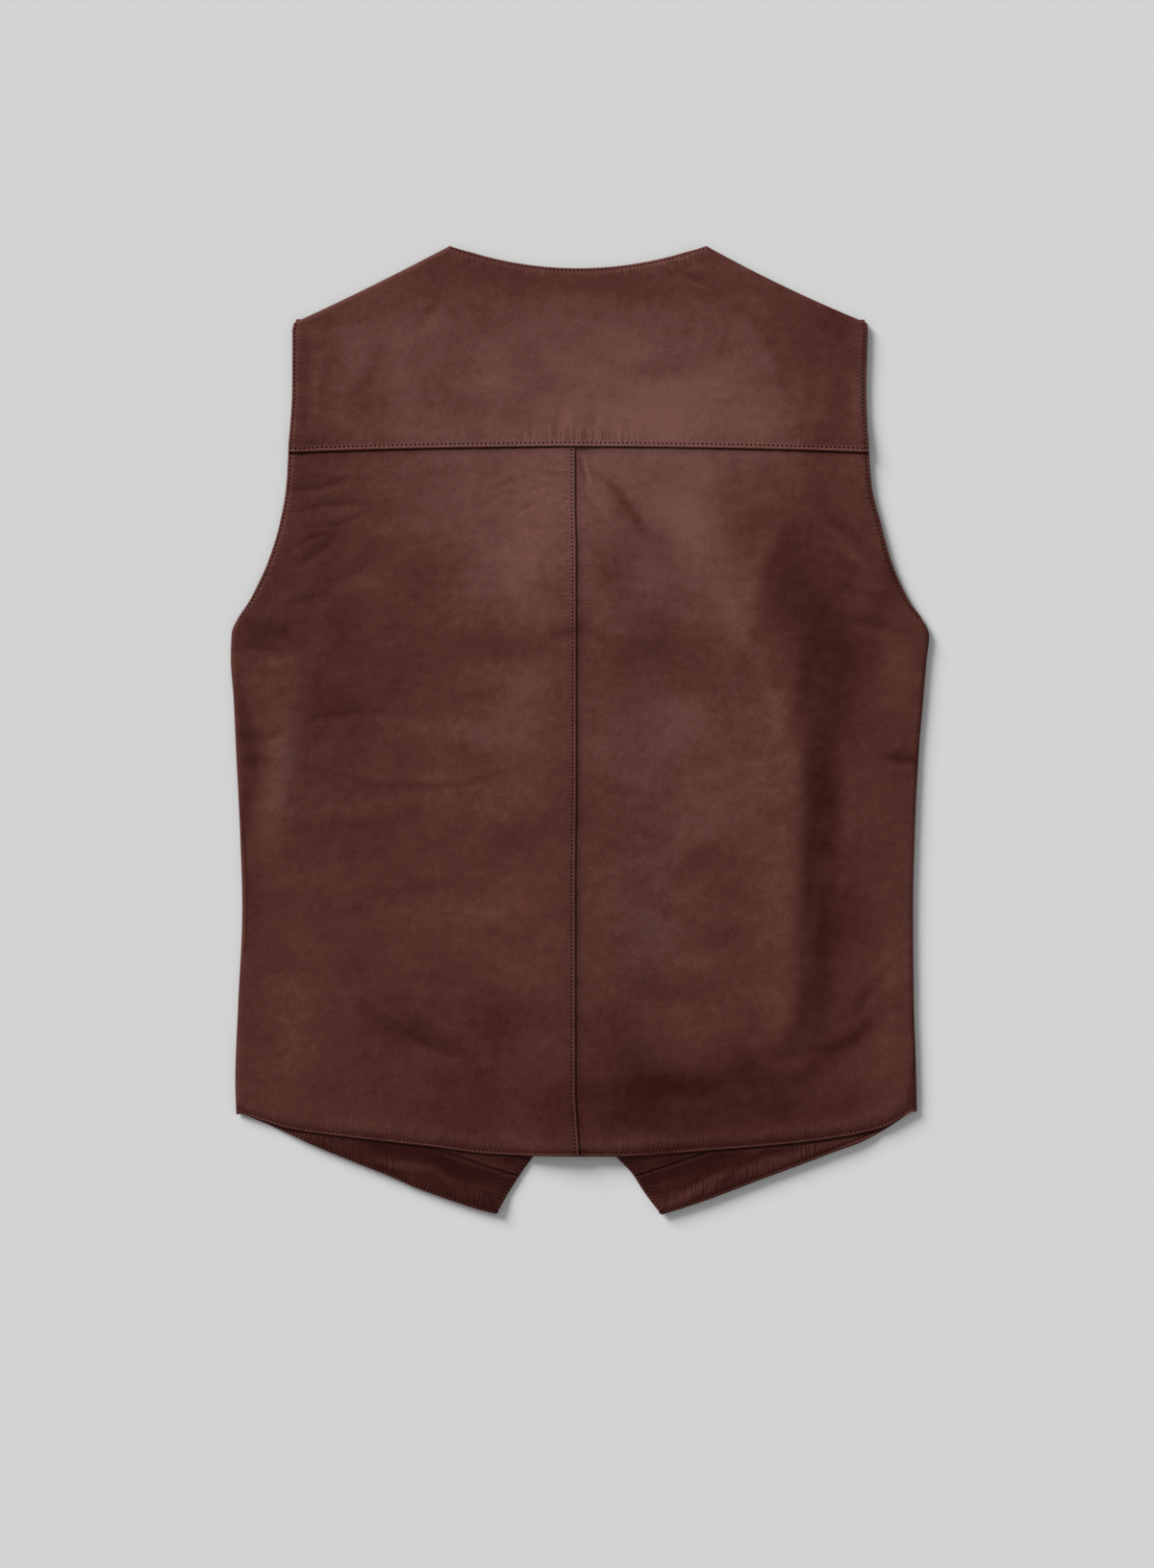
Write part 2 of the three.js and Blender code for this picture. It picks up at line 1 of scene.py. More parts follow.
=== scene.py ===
import math
import bpy
import numpy as np
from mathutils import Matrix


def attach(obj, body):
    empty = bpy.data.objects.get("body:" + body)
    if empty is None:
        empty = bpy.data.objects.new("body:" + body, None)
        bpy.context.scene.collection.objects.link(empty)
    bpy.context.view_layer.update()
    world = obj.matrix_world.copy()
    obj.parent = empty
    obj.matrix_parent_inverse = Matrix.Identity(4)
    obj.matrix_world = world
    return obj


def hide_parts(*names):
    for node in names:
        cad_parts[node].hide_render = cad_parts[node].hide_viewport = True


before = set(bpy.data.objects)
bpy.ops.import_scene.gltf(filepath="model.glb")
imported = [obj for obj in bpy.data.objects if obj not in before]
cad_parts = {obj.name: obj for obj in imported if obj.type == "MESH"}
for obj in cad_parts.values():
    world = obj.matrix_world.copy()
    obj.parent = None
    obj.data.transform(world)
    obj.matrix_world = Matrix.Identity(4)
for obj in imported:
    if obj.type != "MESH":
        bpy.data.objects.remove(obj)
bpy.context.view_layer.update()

# The leather vest, laid flat on its snapped fronts with its back up. Sizes below are in
# millimetres, +x to the right and +y towards the neck; meshes are made in metres.

mm = 0.001
centreShift = 0.57  # the outline's middle lies this far from the drafting zero

cloth = {
    "leather": 1.1,
    "facing": 1.0,
    "turned": 2.0,  # where an edge is turned under
    "gap": 0.3,
    "roll": 1.3,  # how round a turned edge is
}

vest = {
    "top": 352.5,
    "hemCentre": -309.8,
    "neckDrop": 16.5,
    "neck": {"left": -94.6, "right": 91.7},
    "tip": {"left": -208.0, "right": 208.5},
    "tipHeight": 296.5,
    "sag": {"left": 1.0, "right": 2.2},  # how far each shoulder line bows down
    "shoulderSlant": 0.9,  # turns a height below a shoulder into a distance from it
    "yokeSeam": 205.6,
    "yokeSeamDrop": 6.2,
    "yokeLap": 6.0,
    "centreLap": 5.0,
    "underarm": 76.0,
}

lie = {
    "rest": 4.9,  # top of the back over one flat front
    "bulge": 4.3,  # more over the fastened lap
    "sideRadius": 4.0,
    "fold": 2.6,  # height of the outline's folded edge
    "freeEdge": 3.9,  # height of the armholes' and the neck's own edge
    "freeRadius": 5.0,
}

lap = {
    "cap": 2.1,  # room for the snap caps under the fronts
    "raise": 2.7,  # what lifts the right front over the left one's facing
    "curl": 2.4,  # how far the front hems lift off the table
    "facingShare": 0.23,  # of the front's width
    "armholeInset": 11.0,
    "hemFacing": 30.0,
}

stitchIn = {  # how far the topstitching runs from each edge
    "yoke": 2.9, "centre": 2.6, "armhole": 2.6, "neck": 2.0, "front": 2.2,
}

outlineRows = {
    "left": [
        (-278, -250), (-256, -250.7), (-200, -248.6), (-130, -245.6), (-74, -247.2),
        (-18, -250), (24, -252), (52, -254), (70, -253.4), (80, -249.8), (94, -240.6),
        (108, -233.2), (122, -227.1), (150, -218.5), (178, -213.6), (206, -211.9),
        (248, -209.4), (290, -209.2), (296.5, -208),
    ],
    "right": [
        (-276, 244.9), (-242, 244.2), (-200, 242.8), (-130, 242.2), (-74, 243.5),
        (-18, 246.3), (24, 249.8), (52, 252.2), (68, 254), (80, 249.6), (94, 239.6),
        (108, 232.3), (122, 226.7), (150, 219), (178, 212.2), (206, 209.9),
        (248, 208.2), (290, 209.2), (296.5, 208.5),
    ],
}
hemRows = [
    (-250, -278), (-226.5, -285.4), (-209, -290.6), (-170.7, -295.9), (-104.6, -303.4),
    (-69.7, -308), (-35, -309.6), (0, -309.9), (26.5, -310.0), (90.9, -306.0),
    (162.3, -299.9), (215.9, -290.6), (244.9, -276),
]
centreRows = [
    (-310, -0.2), (-290, -1.6), (-262, -3.3), (-110, -3.3), (-30, -2.6), (130, -2.7),
    (165, -3.5), (214, -3.6),
]
hemBowRows = {  # how far the front hems bow out, at shares from the side to the tip
    "left": [
        (0, 0), (0.1, 0.1), (0.18, 1), (0.36, 2.5), (0.58, 2.8), (0.68, 3.8), (0.8, 3.3),
        (0.92, 2), (1, 0),
    ],
    "right": [
        (0, 0), (0.05, 3), (0.12, 5.8), (0.2, 7.1), (0.31, 6.1), (0.46, 5.2), (0.62, 4),
        (0.8, 3.1), (0.9, 1.8), (1, 0),
    ],
}
shiftRows = {  # how far past the fold the side seam comes onto the top side
    "left": [(-278, 2.2), (-180, 2.8), (-150, 5.4), (-90, 5), (-62, 4), (-44, 0), (76, 0)],
    "right": [
        (-276, 10), (-255, 6.5), (-235, 3.2), (-140, 3.2), (-100, 5), (-45, 5.2),
        (-22, 3.2), (-8, 0), (8, 0), (30, 3.4), (56, 0), (76, 0),
    ],
}
frontEdgeRows = {
    "left": [
        (-352, -61), (-336.4, -51.9), (-322.4, -42.8), (-300, -26), (-276, -8), (-248, 6),
        (-215, 12), (108, 12), (134, 3), (170, -14), (260, -56), (352.5, -94.6),
    ],
    "right": [
        (-352.5, 59.4), (-336.4, 46.8), (-322.4, 37.7), (-310.5, 26.5), (-288, 7),
        (-258, -7), (-220, -12), (108, -12), (134, -3), (170, 14), (260, 55), (352.5, 91.7),
    ],
}
frontTip = {"left": (-61.0, -352.0), "right": (59.4, -352.5)}
way = {"left": 1.0, "right": -1.0}  # along x, from each side to the middle

# Folds and creases: x, y, clockwise turn from the y axis, half length, half width, rise.
bigFolds = [
    (128, 84, 26, 62, 15, 0.9), (152, -88, 0, 135, 17, 1.3), (181, -98, 1, 150, 17, -1.9),
    (192, -219, 68, 44, 11, -1.2), (-195, 8, 2, 92, 13, -0.9), (-217, -30, 4, 58, 11, 0.8),
    (-228, 72, 86, 30, 8, -0.7), (-108, -229, 118, 46, 10, -1.0), (-40, -64, 20, 28, 18, -0.5),
    (104, -142, 60, 36, 14, -0.6), (176, 180, 140, 34, 9, -0.7), (-126, 138, 60, 34, 20, -0.5),
]
creases = [
    # under the yoke, right of the centre seam
    (3, 188, 166, 12, 1.5, -0.42), (6, 186, 162, 11, 1.5, 0.3), (26, 174, 136, 30, 3.4, -0.3),
    (38, 156, 140, 32, 5.0, -0.3), (18, 160, 150, 16, 3.0, 0.2), (52, 186, 124, 26, 3.0, -0.2),
    # fine cluster left of the seam
    (-58, 178, 74, 11, 1.6, -0.2), (-52, 172, 96, 9, 1.5, -0.2), (-62, 168, 62, 8, 1.5, -0.2),
    (-46, 182, 84, 9, 1.5, -0.18), (-68, 176, 108, 8, 1.5, -0.16), (-24, 186, 100, 9, 1.8, -0.2),
    (-30, 176, 70, 10, 1.6, -0.2), (-18, 166, 62, 8, 1.5, 0.2), (-38, 162, 66, 10, 1.5, -0.18),
    # puckers and bands at mid seam
    (-10, 70, 80, 12, 2.8, -0.3), (-22, 60, 70, 20, 6.0, -0.12), (12, 66, 100, 14, 4.0, -0.2),
    (36, 56, 84, 34, 9.0, -0.15), (-58, 58, 94, 34, 8.0, -0.14), (8, 20, 96, 9, 3.0, 0.16),
    # long soft creases across the left panel
    (-118, -42, 90, 60, 2.6, -0.34), (-160, 13, 88, 42, 2.6, -0.3), (-150, -58, 84, 48, 7.0, 0.25),
    (-96, 20, 76, 40, 6.0, -0.22), (-66, -6, 104, 36, 7.0, 0.2), (-132, -120, 78, 52, 8.0, -0.25),
    (-60, -150, 98, 40, 6.0, -0.2), (-170, 112, 64, 30, 5.0, -0.28), (-190, 130, 52, 22, 3.2, -0.3),
    (-200, 96, 72, 20, 2.6, -0.3), (-232, -6, 84, 16, 3.0, -0.4), (-236, -16, 96, 12, 2.2, 0.25),
    (-222, 48, 80, 24, 3.4, 0.3), (-236, 60, 92, 14, 2.4, -0.35), (-112, -228, 116, 26, 4.0, -0.22),
    (-136, -206, 128, 24, 4.0, 0.2), (-190, 176, 80, 22, 2.3, -0.4),
    (-182, 164, 84, 26, 2.6, -0.36), (-176, 150, 76, 20, 2.2, -0.3), (-194, 140, 70, 14, 2.2, -0.3),
    (-170, 186, 88, 24, 2.6, 0.2),
    # right panel
    (140, 120, 22, 30, 5.0, -0.3), (186, 150, 134, 26, 3.4, -0.35), (196, 128, 120, 20, 3.0, 0.3),
    (204, 100, 108, 18, 3.0, -0.3), (214, 78, 100, 20, 3.2, -0.3), (232, -22, 96, 14, 3.0, -0.4),
    (226, 20, 88, 18, 4.0, 0.25), (162, 20, 12, 44, 6.0, -0.3), (168, -150, 4, 50, 5.0, 0.3),
    (196, -60, 2, 60, 6.0, 0.25), (210, -190, 40, 24, 4.0, -0.3), (176, -232, 74, 40, 5.0, -0.35),
    (92, -90, 64, 30, 6.0, -0.2), (60, -190, 100, 36, 8.0, -0.25), (72, -258, 96, 42, 9.0, -0.35),
    (120, -262, 84, 30, 7.0, 0.2), (58, -20, 30, 26, 8.0, 0.18), (70, 110, 150, 30, 9.0, -0.2),
    # yoke
    (-150, 262, 24, 30, 6.0, -0.22), (-112, 300, 40, 22, 4.0, -0.2), (-60, 250, 96, 36, 9.0, 0.2),
    (66, 262, 80, 34, 8.0, -0.2), (140, 280, 148, 26, 5.0, -0.22), (168, 240, 12, 26, 5.0, -0.2),
    (84, 338, 118, 12, 1.8, 0.3), (78, 331, 122, 15, 1.8, -0.28), (88, 326, 112, 10, 1.6, -0.22),
    (70, 336, 100, 16, 1.6, 0.2), (-84, 338, 62, 10, 1.8, -0.2), (10, 226, 8, 12, 3.0, -0.2),
    (-6, 222, 176, 12, 2.4, 0.25), (-16, 224, 10, 12, 2.6, -0.2), (-192, 250, 8, 28, 4.0, 0.2),
]
frontFolds = [  # on the fronts' face, which lies down: all lift off the table
    (-150, 40, 10, 90, 14, 0.9), (-120, -140, 24, 70, 10, 0.8), (-190, -60, 4, 60, 8, 0.6),
    (-90, 160, 150, 50, 9, 0.7), (-60, -60, 8, 80, 12, 0.6), (150, -20, 172, 90, 13, 0.9),
    (110, -170, 150, 60, 10, 0.8), (185, 50, 176, 50, 8, 0.6), (100, 190, 30, 50, 9, 0.7),
    (-160, 220, 30, 40, 8, 0.6), (170, 230, 140, 40, 8, 0.6), (-200, -230, 60, 30, 6, 0.5),
    (180, -240, 120, 30, 6, 0.5),
]
facingCreases = [
    (-104, -322, 112, 34, 3.6, 0.55), (-128, -318, 100, 22, 3.0, 0.35),
    (-86, -330, 128, 20, 3.0, -0.3), (-70, -334, 100, 16, 3.4, 0.25), (96, -328, 64, 26, 3.4, 0.45),
    (72, -330, 76, 14, 3.0, 0.3), (118, -318, 58, 22, 3.0, -0.3), (80, -341, 20, 6, 1.6, 0.25),
    (88, -338, 14, 6, 1.6, -0.22), (94, -336, 22, 6, 1.6, 0.22), (-150, -314, 96, 20, 2.6, 0.3),
    (150, -312, 84, 20, 2.6, 0.3),
]

# Where the leather is darker or lighter, partly its dye burnished or rubbed and partly painted
# light and shade, on a scale on which 1 doubles it:
# x, y, clockwise turn from the y axis, half length, half width, amount.
dyeAndShadeSpots = [
    # the upper back and the yoke, lightest in their middle: partly dye, partly painted light
    (24, 205, 90, 165, 130, 1.2), (66, 236, 90, 70, 36, 0.4), (-70, 140, 90, 60, 44, 0.25),
    (76, 132, 20, 56, 40, 0.5), (-76, 110, 60, 40, 30, 0.2), (-160, 288, 60, 60, 34, 0.5),
    (-120, 322, 70, 40, 16, -0.15), (-30, 337, 90, 60, 7, -0.3), (-10, 322, 90, 70, 12, -0.35),
    (-60, 272, 60, 40, 14, 0.2), (-130, 256, 0, 46, 16, 0.25), (-100, 208, 90, 80, 10, 0.2),
    (60, 246, 90, 22, 11, 0.45), (67, 157, 110, 24, 13, 0.5), (-24, 158, 90, 36, 30, -0.15),
    (127, 170, 0, 30, 16, 0.15), (-176, 300, 60, 50, 20, -0.1), (30, 130, 60, 40, 26, -0.3),
    (-170, 326, 60, 30, 10, -0.2), (26, 322, 90, 30, 12, -0.2), (128, 262, 0, 46, 20, 0.25),
    (-110, 290, 70, 50, 24, 0.2), (-40, 262, 20, 30, 10, -0.2), (20, 278, 60, 34, 14, 0.15),
    (104, 300, 120, 40, 12, 0.15), (-96, 250, 30, 30, 9, -0.2),
    # dark armholes and shoulders: partly dye, partly painted shade towards the edges
    (182, 230, 0, 60, 15, -0.6), (208, 250, 0, 60, 8, 0.3), (182, 306, 66, 56, 24, -0.6),
    (150, 328, 60, 22, 8, -0.2), (176, 214, 100, 36, 12, -0.2), (196, 140, 20, 64, 20, -0.35),
    (-206, 250, 0, 60, 12, -0.2), (-200, 170, 0, 60, 20, -0.45), (-174, 160, 20, 44, 20, -0.25),
    (128, 118, 20, 44, 16, 0.35), (170, 182, 10, 40, 14, -0.25), (190, 70, 4, 40, 13, -0.25),
    (206, 96, 50, 24, 9, 0.2), (226, 100, 20, 50, 14, -0.25), (178, 164, 0, 26, 12, -0.2),
    (228, 0, 0, 110, 20, -0.1), (26, 166, 90, 26, 16, -0.2), (229, -262, 20, 26, 12, 0.25),
    (178, -30, 0, 40, 12, -0.15), (76, -268, 90, 30, 12, 0.2), (154, 46, 20, 26, 7, 0.25),
    (152, 120, 10, 26, 9, -0.2), (210, 20, 10, 40, 14, 0.15), (-150, 158, 60, 30, 12, -0.3),
    (-112, 116, 30, 36, 20, -0.4), (-146, 132, 60, 20, 9, -0.3), (226, 112, 20, 50, 12, -0.4),
    # the right edge
    (228, 42, 0, 28, 9, 0.45), (242, -18, 90, 14, 6, -0.4), (228, -140, 0, 60, 11, 0.3),
    (226, -214, 8, 46, 11, 0.45), (208, -216, 52, 34, 7, -0.6), (178, -238, 66, 50, 10, -0.6),
    # the trough and the swell on the left: painted shade in the trough, painted light on the swell
    (-168, 40, 4, 60, 12, -0.35), (-182, 60, 8, 50, 10, -0.3), (-188, 0, 0, 80, 10, -0.3),
    (-217, -26, 2, 60, 13, 0.7), (-230, 68, 84, 24, 11, -0.85), (-230, 100, 40, 30, 12, -0.3),
    (-244, 10, 0, 30, 7, -0.5), (-243, -60, 0, 60, 6, -0.6), (-228, 38, 90, 18, 12, 0.25),
    (-240, -14, 0, 8, 8, -0.3), (-212, -226, 20, 60, 22, 0.35), (-60, 0, 90, 50, 26, 0.35),
    (-70, -40, 80, 60, 30, 0.2), (-80, -130, 90, 44, 32, 0.35),
    # bands across the middle
    (-50, 62, 92, 46, 12, -0.15), (60, 62, 84, 46, 15, -0.15), (-6, 72, 90, 16, 9, -0.45),
    (-136, 36, 60, 60, 24, -0.15), (67, 12, 90, 36, 12, 0.45), (96, -60, 30, 80, 46, 0.5),
    (44, -6, 90, 50, 36, 0.55), (60, -150, 90, 64, 40, 0.45), (82, -214, 90, 30, 16, 0.3),
    (-36, -74, 60, 22, 11, -0.5), (-30, -136, 90, 26, 5, -0.4), (102, -150, 80, 32, 6, -0.4),
    (84, -96, 60, 36, 8, -0.15), (16, 34, 90, 20, 6, -0.2), (138, -150, 0, 50, 16, 0.3),
    # darker towards the hem: painted shade, the light falling off away from the neck
    (0, -278, 90, 210, 50, -0.45), (50, -266, 94, 70, 18, -0.5), (30, -282, 90, 30, 10, -0.3),
    (88, -258, 80, 24, 8, -0.3), (112, -252, 80, 50, 14, -0.35), (-118, -220, 120, 36, 11, -0.7),
    (-74, -212, 100, 30, 12, -0.3), (-42, -204, 100, 44, 16, -0.3), (-70, -256, 96, 50, 14, -0.15),
    (26, -222, 90, 26, 20, -0.3), (-20, -276, 90, 40, 20, -0.25), (130, -266, 80, 40, 18, -0.35),
    (28, 160, 140, 34, 6, -0.25), (36, 184, 130, 22, 4, -0.25), (44, -56, 90, 50, 24, 0.2),
    (30, -104, 60, 40, 24, 0.2), (-74, -56, 90, 40, 20, 0.2), (-74, -108, 60, 40, 20, 0.15),
    (178, -104, 0, 40, 12, 0.15), (229, -268, 20, 24, 10, 0.25), (-228, -50, 0, 40, 10, 0.2),
    (-130, 4, 90, 30, 12, 0.15), (120, 30, 20, 40, 12, 0.2), (-24, 30, 90, 24, 9, 0.2),
    (70, -130, 110, 30, 8, -0.3), (84, -170, 80, 34, 9, 0.2), (18, 120, 160, 26, 10, -0.25),
]
facingSpots = [
    (-66, -316, 112, 26, 6, 0.6), (-120, -326, 108, 60, 6, 0.3), (-84, -338, 112, 50, 7, -0.5),
    (-100, -312, 105, 60, 5, -0.6), (60, -316, 66, 26, 7, 0.5), (110, -327, 66, 60, 6, 0.25),
    (74, -345, 66, 30, 5, 0.35), (96, -312, 70, 60, 6, -0.5), (150, -314, 76, 40, 6, 0.2),
]
valleyRows = [  # where the painted shade of the right back's trough begins on its left: x at each y
    (-260, 118), (-236, 134), (-212, 150), (-170, 160), (-98, 160), (-28, 158), (7, 154),
    (35, 145), (66, 130), (112, 104), (150, 88),
]
crumpleSpots = [  # where the leather is finely wrinkled
    (-44, 176, 90, 56, 20, 1.0), (-176, 164, 70, 36, 16, 0.9), (26, 172, 145, 30, 12, 0.7),
    (190, 172, 130, 34, 14, 0.8), (-8, 66, 90, 18, 14, 0.9), (-90, -288, 85, 80, 9, 0.6),
    (54, -294, 92, 44, 9, 0.9), (236, 4, 0, 90, 12, 0.9), (-242, 10, 0, 110, 10, 0.9),
    (-120, -222, 118, 46, 18, 0.7), (82, 334, 122, 22, 9, 1.0), (-86, 336, 60, 18, 8, 0.6),
    (0, 216, 90, 50, 8, 0.5), (224, 78, 130, 26, 14, 0.8), (-226, 84, 50, 26, 12, 0.7),
    (-200, 236, 0, 70, 8, 0.5), (200, 236, 0, 70, 8, 0.5), (30, -230, 90, 60, 22, 0.4),
    (-30, -140, 20, 60, 30, 0.3), (60, 20, 80, 60, 40, 0.3), (-100, 100, 60, 60, 40, 0.3),
]


def mix(a, b, t):
    return a + (b - a) * t


def clamp01(t):
    return np.clip(t, 0.0, 1.0)


def smooth(t):
    t = clamp01(t)
    return t * t * (3 - 2 * t)


def fade(value, full, none):
    return 1 - smooth((value - full) / (none - full))


def bell(t):
    return np.exp(-t * t)


def through(rows):  # a smooth curve through the rows that never swings past one
    xs, ys = (np.array(column, float) for column in zip(*rows))
    step = np.diff(xs)
    slope = np.diff(ys) / step
    into, outOf = slope[:-1], slope[1:]
    same = into * outOf > 0
    middle = np.where(same, 2 * into * outOf / np.where(same, into + outOf, 1), 0)
    slopes = np.concatenate([slope[:1], middle, slope[-1:]])

    def at(x):
        x = np.asarray(x, float)
        i = np.clip(np.searchsorted(xs, x, side="right") - 1, 0, len(xs) - 2)
        t = clamp01((x - xs[i]) / step[i])
        past = x - xs[i] - t * step[i]
        return (
            ys[i] * (1 + 2 * t) * (1 - t) ** 2
            + slopes[i] * step[i] * t * (1 - t) ** 2
            + ys[i + 1] * t * t * (3 - 2 * t)
            + slopes[i + 1] * step[i] * t * t * (t - 1)
            + past * np.where(t > 0.5, slopes[i + 1], slopes[i])
        )

    return at


outlineAt = {side: through(rows) for side, rows in outlineRows.items()}
shiftAt = {side: through(rows) for side, rows in shiftRows.items()}
frontEdgeAt = {side: through(rows) for side, rows in frontEdgeRows.items()}
valleyAt = through(valleyRows)
hemBowAt = {side: through(rows) for side, rows in hemBowRows.items()}
hemAt = through(hemRows)
centreAt = through(centreRows)


def steepness(curve, at):  # turns a distance along an axis into one square to the curve
    return 1 / np.sqrt(1 + ((curve(at + 1.0) - curve(at - 1.0)) / 2) ** 2)


def yokeSeamAt(x):
    return vest["yokeSeam"] - vest["yokeSeamDrop"] * (x / 254.0) ** 2


def shoulderAt(x, side):
    tip, neck = vest["tip"][side], vest["neck"][side]
    t = clamp01((x - tip) / (neck - tip))
    return mix(vest["tipHeight"], vest["top"], t) - vest["sag"][side] * 4 * t * (1 - t)


def neckAt(x):
    middle = (vest["neck"]["left"] + vest["neck"]["right"]) / 2
    return vest["top"] - vest["neckDrop"] * (1 - ((x - middle) / (vest["neck"]["right"] - middle)) ** 2)


def topEdgeAt(x):
    edge = np.where(x < vest["neck"]["left"], shoulderAt(x, "left"), neckAt(x))
    return np.where(x > vest["neck"]["right"], shoulderAt(x, "right"), edge)


def fromSide(x, y):
    left = (x - outlineAt["left"](y)) * steepness(outlineAt["left"], y)
    right = (outlineAt["right"](y) - x) * steepness(outlineAt["right"], y)
    return np.where(x < 0, left, right)


def fromHem(x, y):
    return (y - hemAt(x)) * steepness(hemAt, x)


def fromNeck(x, y):
    return (neckAt(x) - y) * steepness(neckAt, x)


def betweenNeckPoints(x):
    return np.minimum(x - vest["neck"]["left"], vest["neck"]["right"] - x)


def roundOver(inside, radius):
    return np.sqrt(1 - (1 - clamp01(inside / radius)) ** 2)


def noise1(t, seed):
    table = np.random.default_rng(seed).uniform(-1, 1, 512)
    i = np.floor(t).astype(int)
    return mix(table[i % 512], table[(i + 1) % 512], smooth(t - i))


def noise2(x, y, size, seed):
    table = np.random.default_rng(seed).uniform(-1, 1, (128, 128))
    u, v = x / size, y / size
    i, j = np.floor(u).astype(int), np.floor(v).astype(int)
    a, b = smooth(u - i), smooth(v - j)
    low = mix(table[i % 128, j % 128], table[(i + 1) % 128, j % 128], a)
    high = mix(table[i % 128, (j + 1) % 128], table[(i + 1) % 128, (j + 1) % 128], a)
    return mix(low, high, b)


def reliefOf(rows, x, y, power=4):
    total = np.zeros_like(x)
    for fx, fy, turn, long, wide, rise in rows:
        c, s = math.cos(math.radians(turn)), math.sin(math.radians(turn))
        across = (x - fx) * c - (y - fy) * s
        along = (x - fx) * s + (y - fy) * c
        total += rise * np.exp(-((across / wide) ** 2) - np.abs(along / long) ** power)
    return total


def creaseRelief(rows, x, y):  # a trough or ridge that bends, with a softer swell beside it
    total = np.zeros_like(x)
    for k, (fx, fy, turn, long, wide, rise) in enumerate(rows):
        c, s = math.cos(math.radians(turn)), math.sin(math.radians(turn))
        along = (x - fx) * s + (y - fy) * c
        bend = (0.16 if k % 2 else -0.13) * along * along / long
        across = (x - fx) * c - (y - fy) * s + bend
        beside = 1.9 if k % 3 else -1.9
        shape = bell(across / wide) - 0.4 * bell((across - beside * wide) / (1.4 * wide))
        total += rise * shape * np.exp(-np.abs(along / long) ** 3)
    return total


def drape(x, y):  # the soft unevenness and the creases of the whole back
    return undulation(x, y) + creaseRelief(creases, x, y)


def undulation(x, y):
    return (
        0.34 * noise2(x, y, 58, 11)
        + 0.16 * noise2(x + 0.4 * y, y, 27, 12)
        + 0.06 * noise2(x, y + 0.3 * x, 11, 13)
        + 0.02 * noise2(x, y, 4.6, 14)
    )


def stitchedEdge(e, line, puff, groove):  # leather between an edge and its topstitching
    return puff * bell((e - 0.5 * line) / (0.38 * line)) - groove * bell((e - line) / 0.95)


def hemLineAt(x):  # how far above the hem its topstitching runs
    return 2.1 + 1.3 * bell(x / 34)


def hemRoll(x):  # how strongly the turned hem swells above its stitching
    right = 0.35 + 0.65 * bell((x - 40) / 44) + 0.35 * bell((x - 170) / 50)
    return np.where(x > 0, right, 0.3 + 0.35 * bell((x + 130) / 70))


def hemRelief(x, y):
    e = fromHem(x, y)
    swell = hemRoll(x) * (0.34 * bell((e - 9) / 4) + puckers(x, e - 9, 5, 4.2, 47, 0.16))
    onFacings = 0.8 * fade(e, 1, 14) * smooth((np.abs(x) - 32) / 24)
    return stitchedEdge(e, hemLineAt(x), 0.24, 0.1) + swell + 0.14 * fade(e, 11, 24) - onFacings


def hemLightAndShade(x, y):
    # painted light on the hem's swelling roll, painted shade along its stitching and in the hollow on the
    # right
    e = fromHem(x, y)
    shaded = 0.5 * bell((e - 3.4) / 1.8)
    rightHollow = 0.35 * smooth((x - 20) / 60) * fade(e, 20, 44)
    return 0.62 * hemRoll(x) * bell((e - 9.5) / 4) - shaded - rightHollow


def puckers(s, e, reach, size, seed, rise):  # small waves square to a seam
    wave = noise1(s / size, seed) + 0.5 * noise1(s / (0.43 * size), seed + 1)
    return rise * wave * bell(e / reach)


# Top of the back away from its edges; the fastened fronts below lift its middle.
def backTop(x, y):
    across = np.where(x < 0, fade(-x, 10, 60), fade(x, 16, 76))
    overLap = across * fade(y, 130, 235) * fade(-y, 275, 345)
    held = bell((y - yokeSeamAt(x)) / 13)
    high = lie["rest"] + lie["bulge"] * overLap + (1 - held) * reliefOf(bigFolds, x, y)
    calm = 1 - 0.75 * bell((y - yokeSeamAt(x)) / 5)
    return high + calm * drape(x, y)


def backHeight(x, y):
    high = backTop(x, y)

    def edgeHeight(inside, free):
        return mix(
            mix(lie["fold"], lie["freeEdge"], free),
            high,
            mix(roundOver(inside, lie["sideRadius"]), smooth(inside / lie["freeRadius"]), free),
        )

    side = np.where(x < 0, x - outlineAt["left"](y), outlineAt["right"](y) - x)
    pastNeckPoint = np.where(x < 0, x - vest["neck"]["left"], vest["neck"]["right"] - x)
    z = np.minimum(
        edgeHeight(side, smooth((y - vest["underarm"] + 10) / 40)),
        edgeHeight((topEdgeAt(x) - y) * vest["shoulderSlant"], smooth(pastNeckPoint / 16)),
    )
    e = fromSide(x, y)
    armhole = smooth((y - vest["underarm"] - 4) / 16)
    z = z + armhole * (stitchedEdge(e, stitchIn["armhole"], 0.16, 0.1) + 0.1 * fade(e, 8, 13))
    return z + armhole * puckers(y, e - 4, 5, 6.5, 21, 0.1)


def centreRaise(x, y, beyond=3):
    past = x - centreAt(y)
    return (cloth["leather"] + cloth["gap"]) * np.where(past < 0, fade(-past, 9, 60), fade(past, 0, beyond))


def yokeHeight(x, y):
    up = y - yokeSeamAt(x)
    lapped = (cloth["leather"] + cloth["gap"] + centreRaise(x, y, 16)) * fade(up, 7, 34)
    onNeck = smooth(betweenNeckPoints(x) / 8)
    e = fromNeck(x, y)
    z = backHeight(x, y) + lapped + stitchedEdge(up, stitchIn["yoke"], 0.24, 0.0)
    z += (0.6 + bell(x / 46)) * puckers(x, up - 8, 8, yoke["pucker"], yoke["puckerSeed"], 0.12)
    z += 0.1 * fade(up, 8, 14)
    z += onNeck * (stitchedEdge(e, stitchIn["neck"], 0.1, 0.12) + 0.2 * fade(e, 9.5, 12))
    return z + onNeck * puckers(x, e - 8, 7, 9, 33, 0.09)


